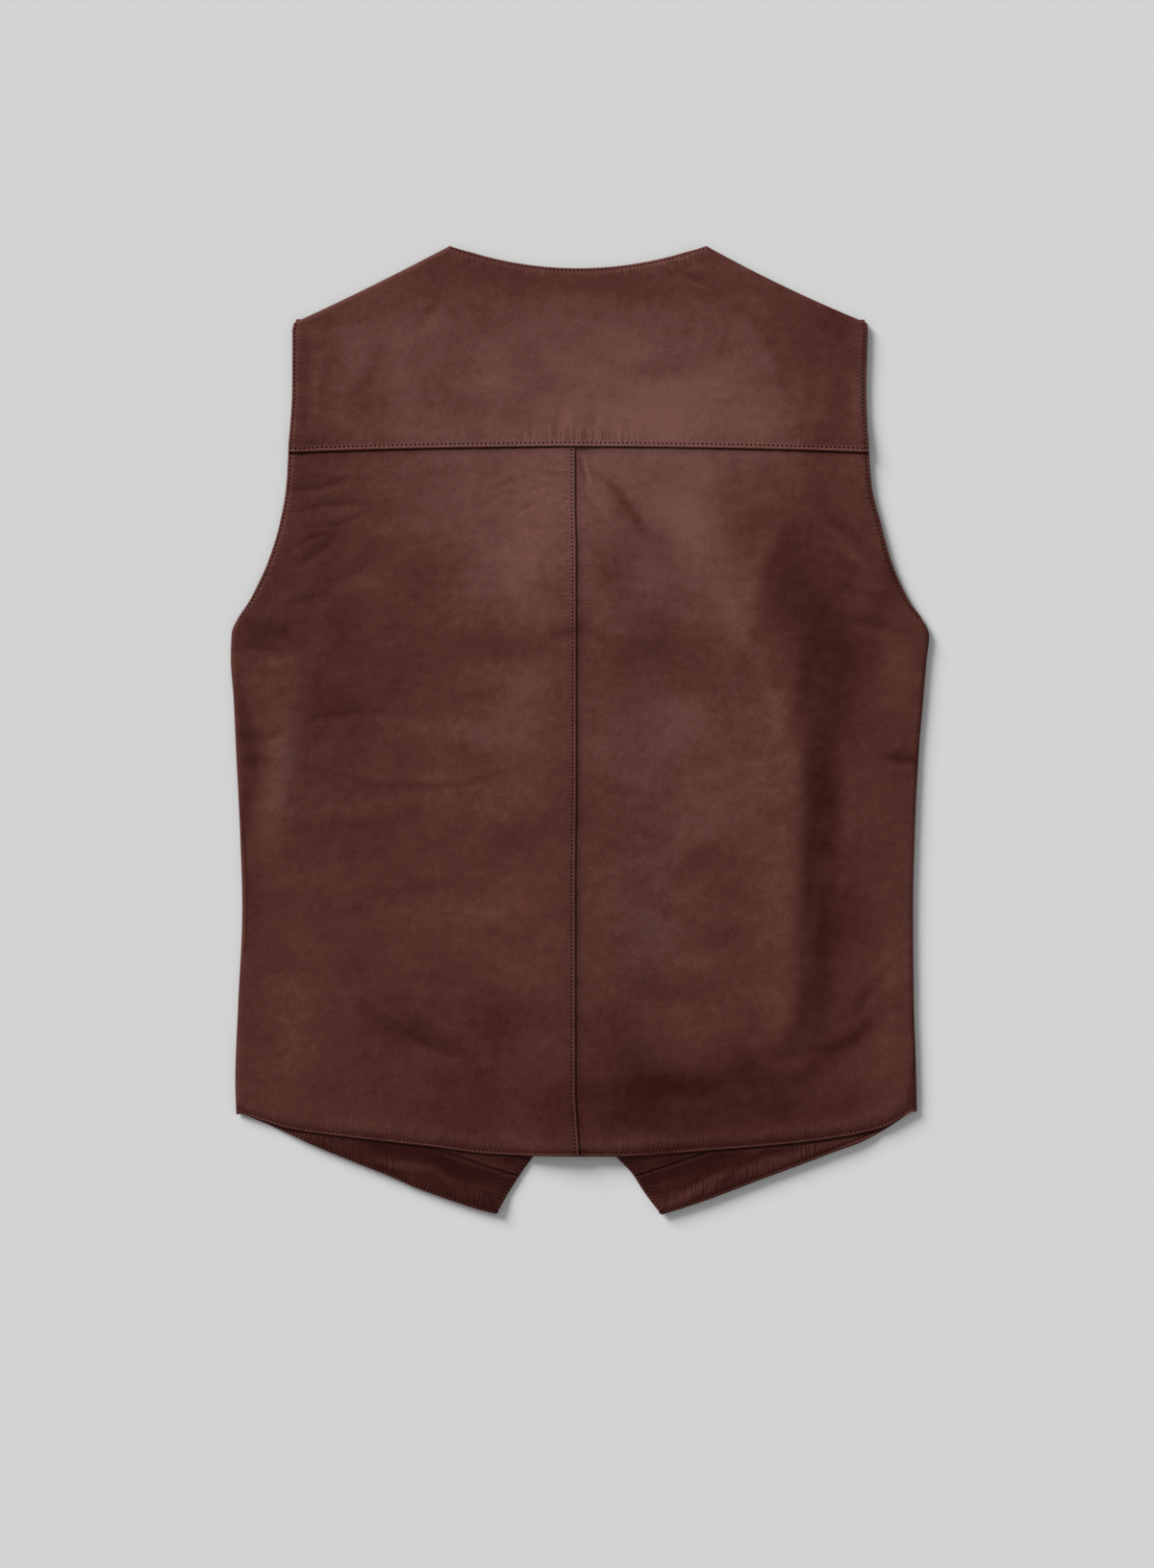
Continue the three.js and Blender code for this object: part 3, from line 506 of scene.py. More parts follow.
def panelHeight(side, x, y):
    past = x - centreAt(y)
    down = yokeSeamAt(x) - y
    z = backHeight(x, y) + puckers(x, down, 9, 6, 41, 0.14) + 0.3 * bell((down - 1.7) / 1.3)
    if side == "left":
        z += centreRaise(x, y) + stitchedEdge(-past, stitchIn["centre"], 0.16, 0.05)
        z += puckers(y, past + 7, 7, 5.2, 43, 0.12) + 0.1 * fade(-past, 8, 11)
    else:
        z += puckers(y, past - 3, 7, 6.2, 45, 0.14) + 0.34 * bell((past - 1.8) / 1.4)
    return z + hemRelief(x, y)


def foldReach(s):
    quarter = math.pi / 2 * math.sqrt((lie["sideRadius"] ** 2 + lie["fold"] ** 2) / 2)
    angle = np.minimum(np.abs(s), quarter) / quarter * math.pi / 2
    return lie["sideRadius"] * (1 - np.cos(angle)) + np.maximum(0, np.abs(s) - quarter), angle, quarter


# Shares from 0 to 1: close together near both ends, and between them in spans, each with the
# distance up to which it reaches and its own step.
def graded(length, near, far, spans):
    marks = [near[-1]]
    for reach, step in spans:
        end = min(reach, length - far[-1])
        if end > marks[-1] + 0.5 * step:
            count = max(1, round((end - marks[-1]) / step))
            marks += list(np.linspace(marks[-1], end, count + 1)[1:])
    ends = length - np.array(far[::-1], float)
    if abs(marks[-1] - ends[0]) < 0.3:
        ends = ends[1:]
    return np.concatenate([near[:-1], marks, ends]) / length


fineEdge = [0, 0.12, 0.35, 0.7, 1.1, 1.6, 2.2, 2.9, 3.7, 4.6, 5.6, 7.0, 8.8]


def patch(bottom, top, left, right, u, v):  # the plan between four curves
    b, t, l, r = (np.array(c, float) for c in (bottom(u), top(u), left(v), right(v)))
    u, v = u[None, :], v[:, None]
    plan = []
    for k in range(2):
        corner = mix(mix(b[k][0], b[k][-1], u), mix(t[k][0], t[k][-1], u), v)
        upwards = mix(b[k][None, :], t[k][None, :], v)
        plan.append(upwards + mix(l[k][:, None], r[k][:, None], u) - corner)
    return plan


def upright(xAt, low, high):
    return lambda v: (xAt(mix(low, high, v)), mix(low, high, v))


def across(yAt, start, end):
    return lambda u: (mix(start, end, u), yAt(mix(start, end, u)))


toneStep = 0.29  # how far a tone of 1 reaches along the colour stops


def toneOf(x, y, spots):
    wavyX, wavyY = x + 7 * noise2(x, y, 30, 63), y + 7 * noise2(x, y, 30, 64)  # ragged borders
    tone = reliefOf(spots, wavyX, wavyY, 2) + 0.12 * noise2(x, y, 52, 61) + 0.12 * noise2(x, y, 21, 62)
    if spots is dyeAndShadeSpots:
        # painted shade down the right back's long trough, painted light on the ridge left of it
        past = x - valleyAt(y) - 3 * noise2(x, y, 40, 65)
        ramp = mix(12, 50, smooth((y + 20) / 90))
        valley = smooth((past + 3) / ramp) * bell(np.maximum(past - ramp - 3, 0) / 27)
        ridge = 0.28 * bell((past + 9) / 9) * fade(y, 70, 130)
        tone += fade(-y, 190, 250) * (ridge - 0.9 * valley * fade(y, 130, 215))
    return 0.515 + toneStep * tone


def placed(x, y, z):
    return np.stack([x, y, z], axis=-1)


def newObject(name, data):
    made = bpy.data.objects.new(name, data)
    bpy.context.collection.objects.link(made)
    return made


# A closed wall on a grid of points. The outer face goes down by half the wall where drop is
# 1, so that the edge closes round, and the wall lies behind the face that looks out.
def wall(name, points, thick, drop, facing, wearAndHighlight, material,
         spots=dyeAndShadeSpots, shade=0.0, gathers=0.0, along=0.0):
    rows, columns = points.shape[:2]
    alongU = np.gradient(points, axis=1)
    alongV = np.gradient(points, axis=0)
    normal = np.cross(alongU, alongV) * facing
    normal /= np.linalg.norm(normal, axis=2, keepdims=True)
    half = (thick / 2 * np.minimum(drop, 0.98))[..., None]
    outer = points - normal * half
    inner = points - normal * (thick[..., None] - half)
    size = rows * columns
    at = np.arange(size).reshape(rows, columns)
    grid = np.stack([at[:-1, :-1], at[:-1, 1:], at[1:, 1:], at[1:, :-1]], axis=-1).reshape(-1, 4)
    ring = np.concatenate([at[0, :], at[1:, -1], at[-1, -2::-1], at[-2:0:-1, 0]])
    after = np.roll(ring, -1)
    rim = np.stack([ring, ring + size, after + size, after], axis=-1)
    quads = np.concatenate([grid, grid[:, ::-1] + size, rim])
    if facing < 0:
        quads = quads[:, ::-1]
    vertices = np.concatenate([outer.reshape(-1, 3), inner.reshape(-1, 3)])
    vertices[:, 0] += centreShift
    mesh = bpy.data.meshes.new(name)
    mesh.vertices.add(len(vertices))
    mesh.vertices.foreach_set("co", (vertices * mm).ravel())
    mesh.loops.add(quads.size)
    mesh.loops.foreach_set("vertex_index", quads.ravel())
    mesh.polygons.add(len(quads))
    mesh.polygons.foreach_set("loop_start", np.arange(0, quads.size, 4))
    mesh.polygons.foreach_set("use_smooth", np.ones(len(quads), bool))
    mesh.update(calc_edges=True)
    mesh.validate()
    x, y = points[..., 0], points[..., 1]
    if spots is dyeAndShadeSpots:
        crumple = clamp01(0.08 + reliefOf(crumpleSpots, x, y, 2))
        relief = creaseRelief(creases, x, y)
    else:
        crumple = 1.0
        relief = creaseRelief(facingCreases, x, y)
    # the creases darken the colour in their troughs and lighten it on their ridges: painted shade and painted
    # light
    tone = np.clip(toneOf(x, y, spots) + toneStep * (shade + 1.3 * relief), 0, 1)
    layers = {"tone": tone, "wearAndHighlight": wearAndHighlight, "crumple": crumple, "gathers": gathers, "along": along}
    for label, values in layers.items():
        layer = mesh.attributes.new(label, "FLOAT", "POINT")
        layer.data.foreach_set("value", np.tile((values + 0 * x).ravel(), 2))
    piece = newObject(name, mesh)
    mesh.materials.append(material)
    print("piece", name, 2 * len(quads), "triangles")
    return piece


def finishPiece(piece, node):
    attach(piece, "root")
    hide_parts(node)


# Leather, thread and metal

def addNode(tree, kind, inputs=None, **settings):
    made = tree.nodes.new(kind)
    for key, value in settings.items():
        setattr(made, key, value)
    for key, value in (inputs or {}).items():
        if isinstance(value, bpy.types.NodeSocket):
            tree.links.new(value, made.inputs[key])
        else:
            made.inputs[key].default_value = value
    return made


def colourRamp(tree, value, stops):
    ramp = addNode(tree, "ShaderNodeValToRGB", {"Fac": value})
    ramp.color_ramp.interpolation = "LINEAR"
    while len(ramp.color_ramp.elements) < len(stops):
        ramp.color_ramp.elements.new(0.5)
    for element, (place, colour) in zip(ramp.color_ramp.elements, stops):
        element.position = place
        element.color = (*colour, 1)
    return ramp.outputs["Color"]


def maths(tree, operation, a, b=0.0, clamp=False):
    return addNode(tree, "ShaderNodeMath", {0: a, 1: b}, operation=operation, use_clamp=clamp).outputs[0]


def newMaterial(name):
    material = bpy.data.materials.new(name)
    material.use_nodes = True
    return material, material.node_tree, material.node_tree.nodes["Principled BSDF"]


def noiseNode(tree, place, scale, detail, roughness=0.5, distortion=0.0, **settings):
    return addNode(tree, "ShaderNodeTexNoise", {
        "Vector": place, "Scale": scale, "Detail": detail, "Roughness": roughness,
        "Distortion": distortion}, **settings).outputs[0]


def bumped(tree, height, depth, strength, under=None):
    inputs = {"Strength": strength, "Distance": depth * mm, "Height": height}
    if under is not None:
        inputs["Normal"] = under
    return addNode(tree, "ShaderNodeBump", inputs).outputs[0]


def ranged(tree, value, span, start=0.0, end=1.0):
    return addNode(tree, "ShaderNodeMapRange", {
        "Value": value, "From Min": start, "From Max": end, "To Min": span[0], "To Max": span[1],
    }).outputs[0]


oxblood = {
    "dyeAndShadeStops": [  # from the darkest, burnish and painted shade, to the lightest, rub and painted light
        (0.0, (0.0290, 0.0044, 0.0028)),
        (0.2, (0.0470, 0.0100, 0.0074)),
        (0.4, (0.0745, 0.0208, 0.0163)),
        (0.6, (0.1055, 0.0350, 0.0268)),
        (0.8, (0.1500, 0.0615, 0.0508)),
        (1.0, (0.1950, 0.0860, 0.0710)),
    ],
    "rubbedAndLit": (0.175, 0.068, 0.054),
    "roughness": (0.44, 0.62),
    "grainSize": 0.95,
    "grainDepth": 0.15,
    "unevenDepth": 0.36,
    "wrinkleDepth": 0.2,
    "mottle": {
        "cloudy": 0.16, "streaks": 0.22, "blotches": 0.34, "specks": 0.26, "pores": 0.06, "gathers": 0.16,
    },
    "mottleMiddle": 0.506,  # what the mottle adds on average
    "specular": 0.11,
    "sheen": (1.0, 0.72, 0.66),
}
facingLeather = dict(oxblood, dyeAndShadeStops=[
    (0.0, (0.0150, 0.0020, 0.0012)),
    (0.5, (0.0335, 0.0064, 0.0046)),
    (1.0, (0.0880, 0.0260, 0.0200)),
], rubbedAndLit=(0.12, 0.042, 0.032))


def leatherMaterial(name, look):
    material, tree, shader = newMaterial(name)
    place = addNode(tree, "ShaderNodeTexCoord").outputs["Object"]
    drawn = addNode(tree, "ShaderNodeMapping", {"Vector": place, "Scale": (1.0, 3.0, 1.0)}).outputs[0]
    streaks = noiseNode(tree, drawn, 26.0, 5.0, 0.62)
    cloudy = noiseNode(tree, place, 20.0, 4.0, 0.55)
    blotches = noiseNode(tree, place, 130.0, 4.0, 0.66)
    specks = noiseNode(tree, place, 620.0, 3.0, 0.6)
    given = {
        label: addNode(tree, "ShaderNodeAttribute", attribute_name=label).outputs["Fac"]
        for label in ("tone", "wearAndHighlight", "gathers", "along", "crumple")
    }
    grain = addNode(tree, "ShaderNodeTexVoronoi", {
        "Vector": place, "Scale": 1000.0 / look["grainSize"], "Randomness": 1.0}, feature="DISTANCE_TO_EDGE")
    pores = maths(tree, "MULTIPLY", grain.outputs["Distance"], 2.6, True)

    # fine gathers run square to the seams, a wave for each stitch or two; in the colour their waves are
    # painted light and shade
    swayed = maths(tree, "ADD", given["along"], maths(tree, "MULTIPLY", blotches, 6.0))
    ripple = addNode(tree, "ShaderNodeTexNoise", {"W": swayed, "Scale": 0.42, "Detail": 2.0},
                     noise_dimensions="1D")
    gathered = maths(tree, "MULTIPLY", maths(tree, "SUBTRACT", ripple.outputs[0], 0.5), given["gathers"])

    # cloudy dye, darker in the pores, plus the tone: dye spots and painted light and shade, lighter where the
    # leather is proud
    layers = {"cloudy": cloudy, "streaks": streaks, "blotches": blotches, "specks": specks,
              "pores": pores, "gathers": gathered}
    parts = [maths(tree, "MULTIPLY", layer, look["mottle"][label]) for label, layer in layers.items()]
    level = parts[0]
    for part in (*parts[1:], given["tone"]):
        level = maths(tree, "ADD", level, part)
    level = maths(tree, "SUBTRACT", level, look["mottleMiddle"])
    surfaceColour = colourRamp(tree, level, look["dyeAndShadeStops"])
    # mixed towards the rubbed colour where the edges are worn and where highlights are painted
    rubbedAndLit = addNode(tree, "ShaderNodeMix", {"Factor": given["wearAndHighlight"], 6: surfaceColour, 7: (*look["rubbedAndLit"], 1)},
                     data_type="RGBA")
    tree.links.new(rubbedAndLit.outputs[2], shader.inputs["Base Color"])

    tree.links.new(ranged(tree, blotches, look["roughness"], 0.3, 0.7), shader.inputs["Roughness"])
    shader.inputs["Specular IOR Level"].default_value = look["specular"]
    shader.inputs["Specular Tint"].default_value = (*look["sheen"], 1)

    fine = noiseNode(tree, place, 1500.0, 2.0)
    uneven = noiseNode(tree, place, 150.0, 4.0, distortion=0.5)
    wrinkle = noiseNode(tree, place, 210.0, 3.0, distortion=1.2, noise_type="RIDGED_MULTIFRACTAL")
    grained = maths(tree, "ADD", pores, maths(tree, "MULTIPLY", fine, 0.5))
    pored = bumped(tree, grained, look["grainDepth"], 0.6)
    wavy = bumped(tree, uneven, look["unevenDepth"], 0.8, pored)
    folded = maths(tree, "ADD", maths(tree, "MULTIPLY", wrinkle, given["crumple"]),
                   maths(tree, "MULTIPLY", gathered, 5.0))
    tree.links.new(bumped(tree, folded, look["wrinkleDepth"], 0.8, wavy), shader.inputs["Normal"])
    return material


def threadMaterial(name, colour, roughness):
    material, tree, shader = newMaterial(name)
    place = addNode(tree, "ShaderNodeTexCoord").outputs["Object"]
    twist = noiseNode(tree, place, 2600.0, 2.0)
    surfaceColour = colourRamp(tree, twist, [(0.3, tuple(0.6 * c for c in colour)), (0.7, colour)])
    tree.links.new(surfaceColour, shader.inputs["Base Color"])
    shader.inputs["Roughness"].default_value = roughness
    shader.inputs["Specular IOR Level"].default_value = 0.04
    tree.links.new(bumped(tree, twist, 0.08, 0.4), shader.inputs["Normal"])
    return material


brass = {
    "patina": [(0.35, (0.05, 0.038, 0.028)), (0.6, (0.20, 0.16, 0.11)), (0.8, (0.34, 0.28, 0.2))],
    "roughness": (0.25, 0.55),
    "pitDepth": 0.05,
}


def metalMaterial(name, look):
    material, tree, shader = newMaterial(name)
    place = addNode(tree, "ShaderNodeTexCoord").outputs["Object"]
    patina = noiseNode(tree, place, 420.0, 5.0, 0.6)
    tree.links.new(colourRamp(tree, patina, look["patina"]), shader.inputs["Base Color"])
    tree.links.new(ranged(tree, patina, look["roughness"]), shader.inputs["Roughness"])
    shader.inputs["Metallic"].default_value = 1.0
    tree.links.new(bumped(tree, patina, look["pitDepth"], 0.25), shader.inputs["Normal"])
    return material


outerLeather = leatherMaterial("oxblood leather", oxblood)
innerLeather = leatherMaterial("oxblood facing leather", facingLeather)
darkThread = threadMaterial("waxed thread", (0.008, 0.0014, 0.0009), 0.7)
# the dents round the stitches are dark beads: painted shade
dentShadeFinish = threadMaterial("painted dent shade", (0.014, 0.0024, 0.0015), 0.9)
agedBrass = metalMaterial("aged brass", brass)
print("materials made")


# The back

def edgeRoll(*distances):  # 1 at the nearest turned edge, 0 a roll's width inside it
    nearest = np.minimum.reduce([np.broadcast_to(d, np.broadcast(*distances).shape) for d in distances])
    return 1 - roundOver(nearest, cloth["roll"])


yoke = {
    "across": 418,
    "length": 125,
    "seamStart": -212,  # where its lower edge begins, and how wide that edge is
    "seamWidth": 422,
    "shoulderShare": 0.27,
    "columns": [(999, 1.55)],
    "rows": [(32, 1.4), (999, 1.9)],
    "overCentre": [-2.8, -1.2, -0.3, 0, 0.6, 1.4, 3],  # columns where the centre seam lies below
    "pucker": 3.6,
    "puckerSeed": 31,
}


def makeYoke():
    share = yoke["shoulderShare"]

    def topEdge(u):
        left, right = vest["neck"]["left"], vest["neck"]["right"]
        x = np.interp(u, [0, share, 1 - share, 1], [vest["tip"]["left"], left, right, vest["tip"]["right"]])
        return x, topEdgeAt(x)

    low = yokeSeamAt(-210.0)
    high = vest["tipHeight"]
    leftX, rightX = float(outlineAt["left"](low)), float(outlineAt["right"](low))
    u = graded(yoke["across"], fineEdge, fineEdge, yoke["columns"])
    overCentre = (centreAt(200.0) + np.array(yoke["overCentre"]) - yoke["seamStart"]) / yoke["seamWidth"]
    u = np.unique(np.concatenate([u, [share, 1 - share], overCentre]))
    v = graded(yoke["length"], fineEdge, fineEdge, yoke["rows"])
    x, y = patch(across(yokeSeamAt, leftX, rightX), topEdge, upright(outlineAt["left"], low, high),
                 upright(outlineAt["right"], low, high), u, v)
    points = placed(x, y, yokeHeight(x, y))
    up = y - yokeSeamAt(x)
    sideways = fromSide(x, y)
    neck = np.where(betweenNeckPoints(x) > 0, fromNeck(x, y), 50)
    onSeam = smooth((up - 9) / 6)
    below = np.where(betweenNeckPoints(x) < 0, topEdgeAt(x) - y, 99)
    turned = np.maximum(
        fade(sideways, 5, 9) * onSeam * smooth((below - 8) / 8),
        fade(neck, 5, 9) * smooth((betweenNeckPoints(x) - 18) / 12),
    )
    thick = mix(cloth["leather"], cloth["turned"], turned)
    shoulder = (topEdgeAt(x) - y) * vest["shoulderSlant"] + np.where(betweenNeckPoints(x) > 0, 50, 0)
    drop = edgeRoll(1.7 * up, sideways, neck, shoulder + 0.2)
    # lighter on the ridge above the seam and along the edges: partly wear, partly painted highlight
    wearAndHighlight = 0.9 * bell((up - 1.6) / 1.0) + 0.3 * bell((up - 3.3) / 0.9) + 0.3 * bell((neck - 0.9) / 0.9)
    # painted highlight along the right armhole's edge, which turns away from the light
    wearAndHighlight = wearAndHighlight + 0.4 * bell((sideways - 0.8) / 0.8) * (x > 0)
    wearAndHighlight = clamp01(wearAndHighlight * (0.6 + 0.4 * noise2(x, y, 9, 71)))
    puckered = 0.8 * puckers(x, up - 8, 8, yoke["pucker"], yoke["puckerSeed"], 0.3) * (0.3 + bell(x / 46))
    # painted light and shade on the puckers, and painted shade at the yoke's lower edge
    shade = puckered - 1.8 * bell(up / 0.5)
    shade = shade + 0.45 * bell((up - 1.7) / 0.9) + 0.3 * bell((up - 3.6) / 1.2)  # painted highlight on the puffed leather beside the stitches
    bySeam = (0.3 + bell(x / 46)) * smooth((up - 3) / 2) * fade(up, 5, 16)
    byArmhole = 0.8 * smooth((sideways - 2.6) / 2) * fade(sideways, 4, 10)
    byNeck = 0.7 * smooth((neck - 2) / 2) * fade(neck, 4, 11)
    gathers = np.maximum.reduce([bySeam, byArmhole, byNeck])
    along = np.where(byArmhole > np.maximum(bySeam, byNeck), y, x)
    piece = wall("yokeLeather", points, thick, drop, 1, wearAndHighlight, outerLeather,
                 shade=shade, gathers=gathers, along=along)
    finishPiece(piece, "back_yoke")


backPanel = {
    "across": 230,
    "length": 515,
    "columns": [(24, 1.8), (150, 2.9), (999, 1.7)],
    "rows": [(34, 1.7), (430, 2.7), (999, 1.5)],
    "coveredEdge": [0, 2, 4, 5, 5.4, 6, 7, 8.5],  # columns of the right one under the left one
}


def panelSide(side):
    def edgeAt(y):
        shift = np.where(y < vest["underarm"], shiftAt[side](y) + 0.06, 0)
        return outlineAt[side](y) + way[side] * foldReach(shift)[0]

    low = float(hemAt(edgeAt(outlineRows[side][0][0])))
    high = float(yokeSeamAt(outlineAt[side](vest["yokeSeam"]))) + vest["yokeLap"]
    return edgeAt, low, high


def makePanel(side):
    edgeAt, low, high = panelSide(side)
    hemStart = float(hemAt(centreAt(vest["hemCentre"])))
    top = vest["yokeSeam"] + vest["yokeLap"]
    under = 0 if side == "left" else 0.15 - vest["centreLap"]

    def middle(y):
        return centreAt(y) + under

    centreEdge = fineEdge if side == "left" else backPanel["coveredEdge"]
    u = graded(backPanel["across"], fineEdge, centreEdge, backPanel["columns"])
    v = graded(backPanel["length"], fineEdge, [0, 3, 5.5, 6.2, 7, 8.2], backPanel["rows"])
    x, y = patch(across(hemAt, float(edgeAt(low)), float(middle(hemStart))),
                 across(lambda t: yokeSeamAt(t) + vest["yokeLap"], float(edgeAt(high)), float(middle(top))),
                 upright(edgeAt, low, high), upright(middle, hemStart, top), u, v)
    points = placed(x, y, panelHeight(side, x, y))
    hem = fromHem(x, y)
    sideways = np.abs(x - edgeAt(y)) * steepness(outlineAt[side], y)
    past = np.abs(x - centreAt(y))
    outside = np.abs(x - outlineAt[side](y))
    turned = np.maximum(
        0.25 * fade(hem, 5, 9) * smooth((outside - 10) / 8) * smooth((past - 8) / 6),
        fade(sideways, 5, 9) * smooth((y - vest["underarm"] - 30) / 20) * smooth((yokeSeamAt(x) - y - 9) / 6),
    )
    thick = mix(cloth["leather"], cloth["turned"], turned)
    centreRoll = 1.7 * past if side == "left" else past + 99
    sideSeam = 0.9 * fade(y, vest["underarm"] - 6, vest["underarm"] + 6)
    drop = edgeRoll(0.9 * hem, sideways + sideSeam, centreRoll)
    wearAndHighlight = 0.45 * bell((hem - 1.1) / 1.0)
    if side == "left":
        # lighter on the centre seam's ridge: partly wear, partly painted highlight
        wearAndHighlight = wearAndHighlight + (0.25 + 0.35 * fade(y, -40, 120)) * bell((past - 1.1) / 0.8)
        wearAndHighlight = wearAndHighlight + 0.2 * bell((past - 3) / 0.9)
    else:
        # painted highlight along the right armhole's edge, which turns away from the light
        wearAndHighlight = wearAndHighlight + 0.45 * bell((sideways - 0.8) / 0.8) * (y > vest["underarm"])
    wearAndHighlight = clamp01(wearAndHighlight * (0.6 + 0.4 * noise2(x, y, 9, 72)))
    down = yokeSeamAt(x) - y
    # painted shadow under the yoke's edge, added to the hem's painted light and shade
    shade = hemLightAndShade(x, y) - 1.6 * bell(np.maximum(down, 0) / 0.9)
    if side == "right":
        # painted shadow beside the edge of the left panel that laps over
        shade = shade - 0.35 * bell((x - centreAt(y) - 0.4) / 0.7)
    else:
        # painted light above and painted shade below, beside the centre stitches
        shade = shade + (0.45 * smooth((y - 20) / 80) - 0.25) * bell((past - 3) / 1.3)
    byHem = hemRoll(x) * smooth((hem - 2.6) / 2) * fade(hem, 8, 16)
    bySide = 0.8 * smooth((outside - 2.6) / 2) * fade(outside, 4, 10) * smooth((y - vest["underarm"]) / 20)
    byCentre = 0.7 * smooth((past - 3) / 2) * fade(past, 5, 12) * smooth((y - 20) / 60)
    gathers = np.maximum.reduce([byHem, bySide, byCentre])
    along = np.where(byHem >= gathers, x, y)
    piece = wall("backLeather" + side.title(), points, thick, drop, way[side], wearAndHighlight, outerLeather,
                 shade=shade, gathers=gathers, along=along)
    finishPiece(piece, "back_panel_" + side)


# The fronts and their facings

front = {
    "across": 225,  # the flat part, from the fold to the front edge
    "length": 640,
    "hemSlant": 0.93,  # turns a height above the hem into a distance from it
    "columns": [(999, 3.4)],
    "rows": [(999, 3.6)],
    "foldColumns": 23,
}


def frontLift(side, x, y):
    lift = lap["cap"] * fade(np.abs(x), 16, 60) * fade(y, 118, 180) * fade(-y, 225, 285)
    if side == "right":
        lift = lift + lap["raise"] * fade(x, 15, 64) * fade(y, 150, 210) * fade(-y, 292, 345)
    return lift + lap["curl"] * fade(hemDistance(side, x, y), 2, 16) * smooth((hemAt(x) - y + 0.5) / 8)


def frontArmhole(side, y):
    t = clamp01((y - vest["underarm"]) / (vest["tipHeight"] - vest["underarm"]))
    return outlineAt[side](y) + way[side] * (lap["armholeInset"] * np.sin(math.pi * t) + 1.2 * smooth(8 * t))


def frontPlan(side, u, v):
    tip = frontTip[side]
    hemEnd = outlineRows[side][0][0]
    low = mix(hemEnd, tip[1], lie["sideRadius"] / abs(tip[0] - float(frontArmhole(side, hemEnd))))

    def flatEdge(y):
        return frontArmhole(side, y) + way[side] * lie["sideRadius"]

    def shoulderX(t):
        return mix(float(flatEdge(vest["tipHeight"])), vest["neck"][side], t)

    high = float(shoulderAt(shoulderX(0.0), side))
    edge = upright(frontEdgeAt[side], tip[1], vest["top"])
    return patch(
        lambda t: (mix(float(flatEdge(low)), tip[0], t), mix(low, tip[1], t) - hemBowAt[side](t)),
        lambda t: (shoulderX(t), shoulderAt(shoulderX(t), side)),
        upright(flatEdge, low, high),
        lambda t: edge(t * (1 - 0.25 * fade(t, 0.06, 0.3))),  # rows parallel to the hem near the point
        u, v)


def hemDistance(side, x, y):
    u = np.linspace(0, 1, 60)
    hx, hy = frontPlan(side, u, np.array([0.0]))
    order = np.argsort(hx[0])
    return (y - np.interp(x, hx[0][order], hy[0][order])) * front["hemSlant"]


def fromFrontEdge(side, x, y):
    return np.abs(x - frontEdgeAt[side](y)) * steepness(frontEdgeAt[side], y)


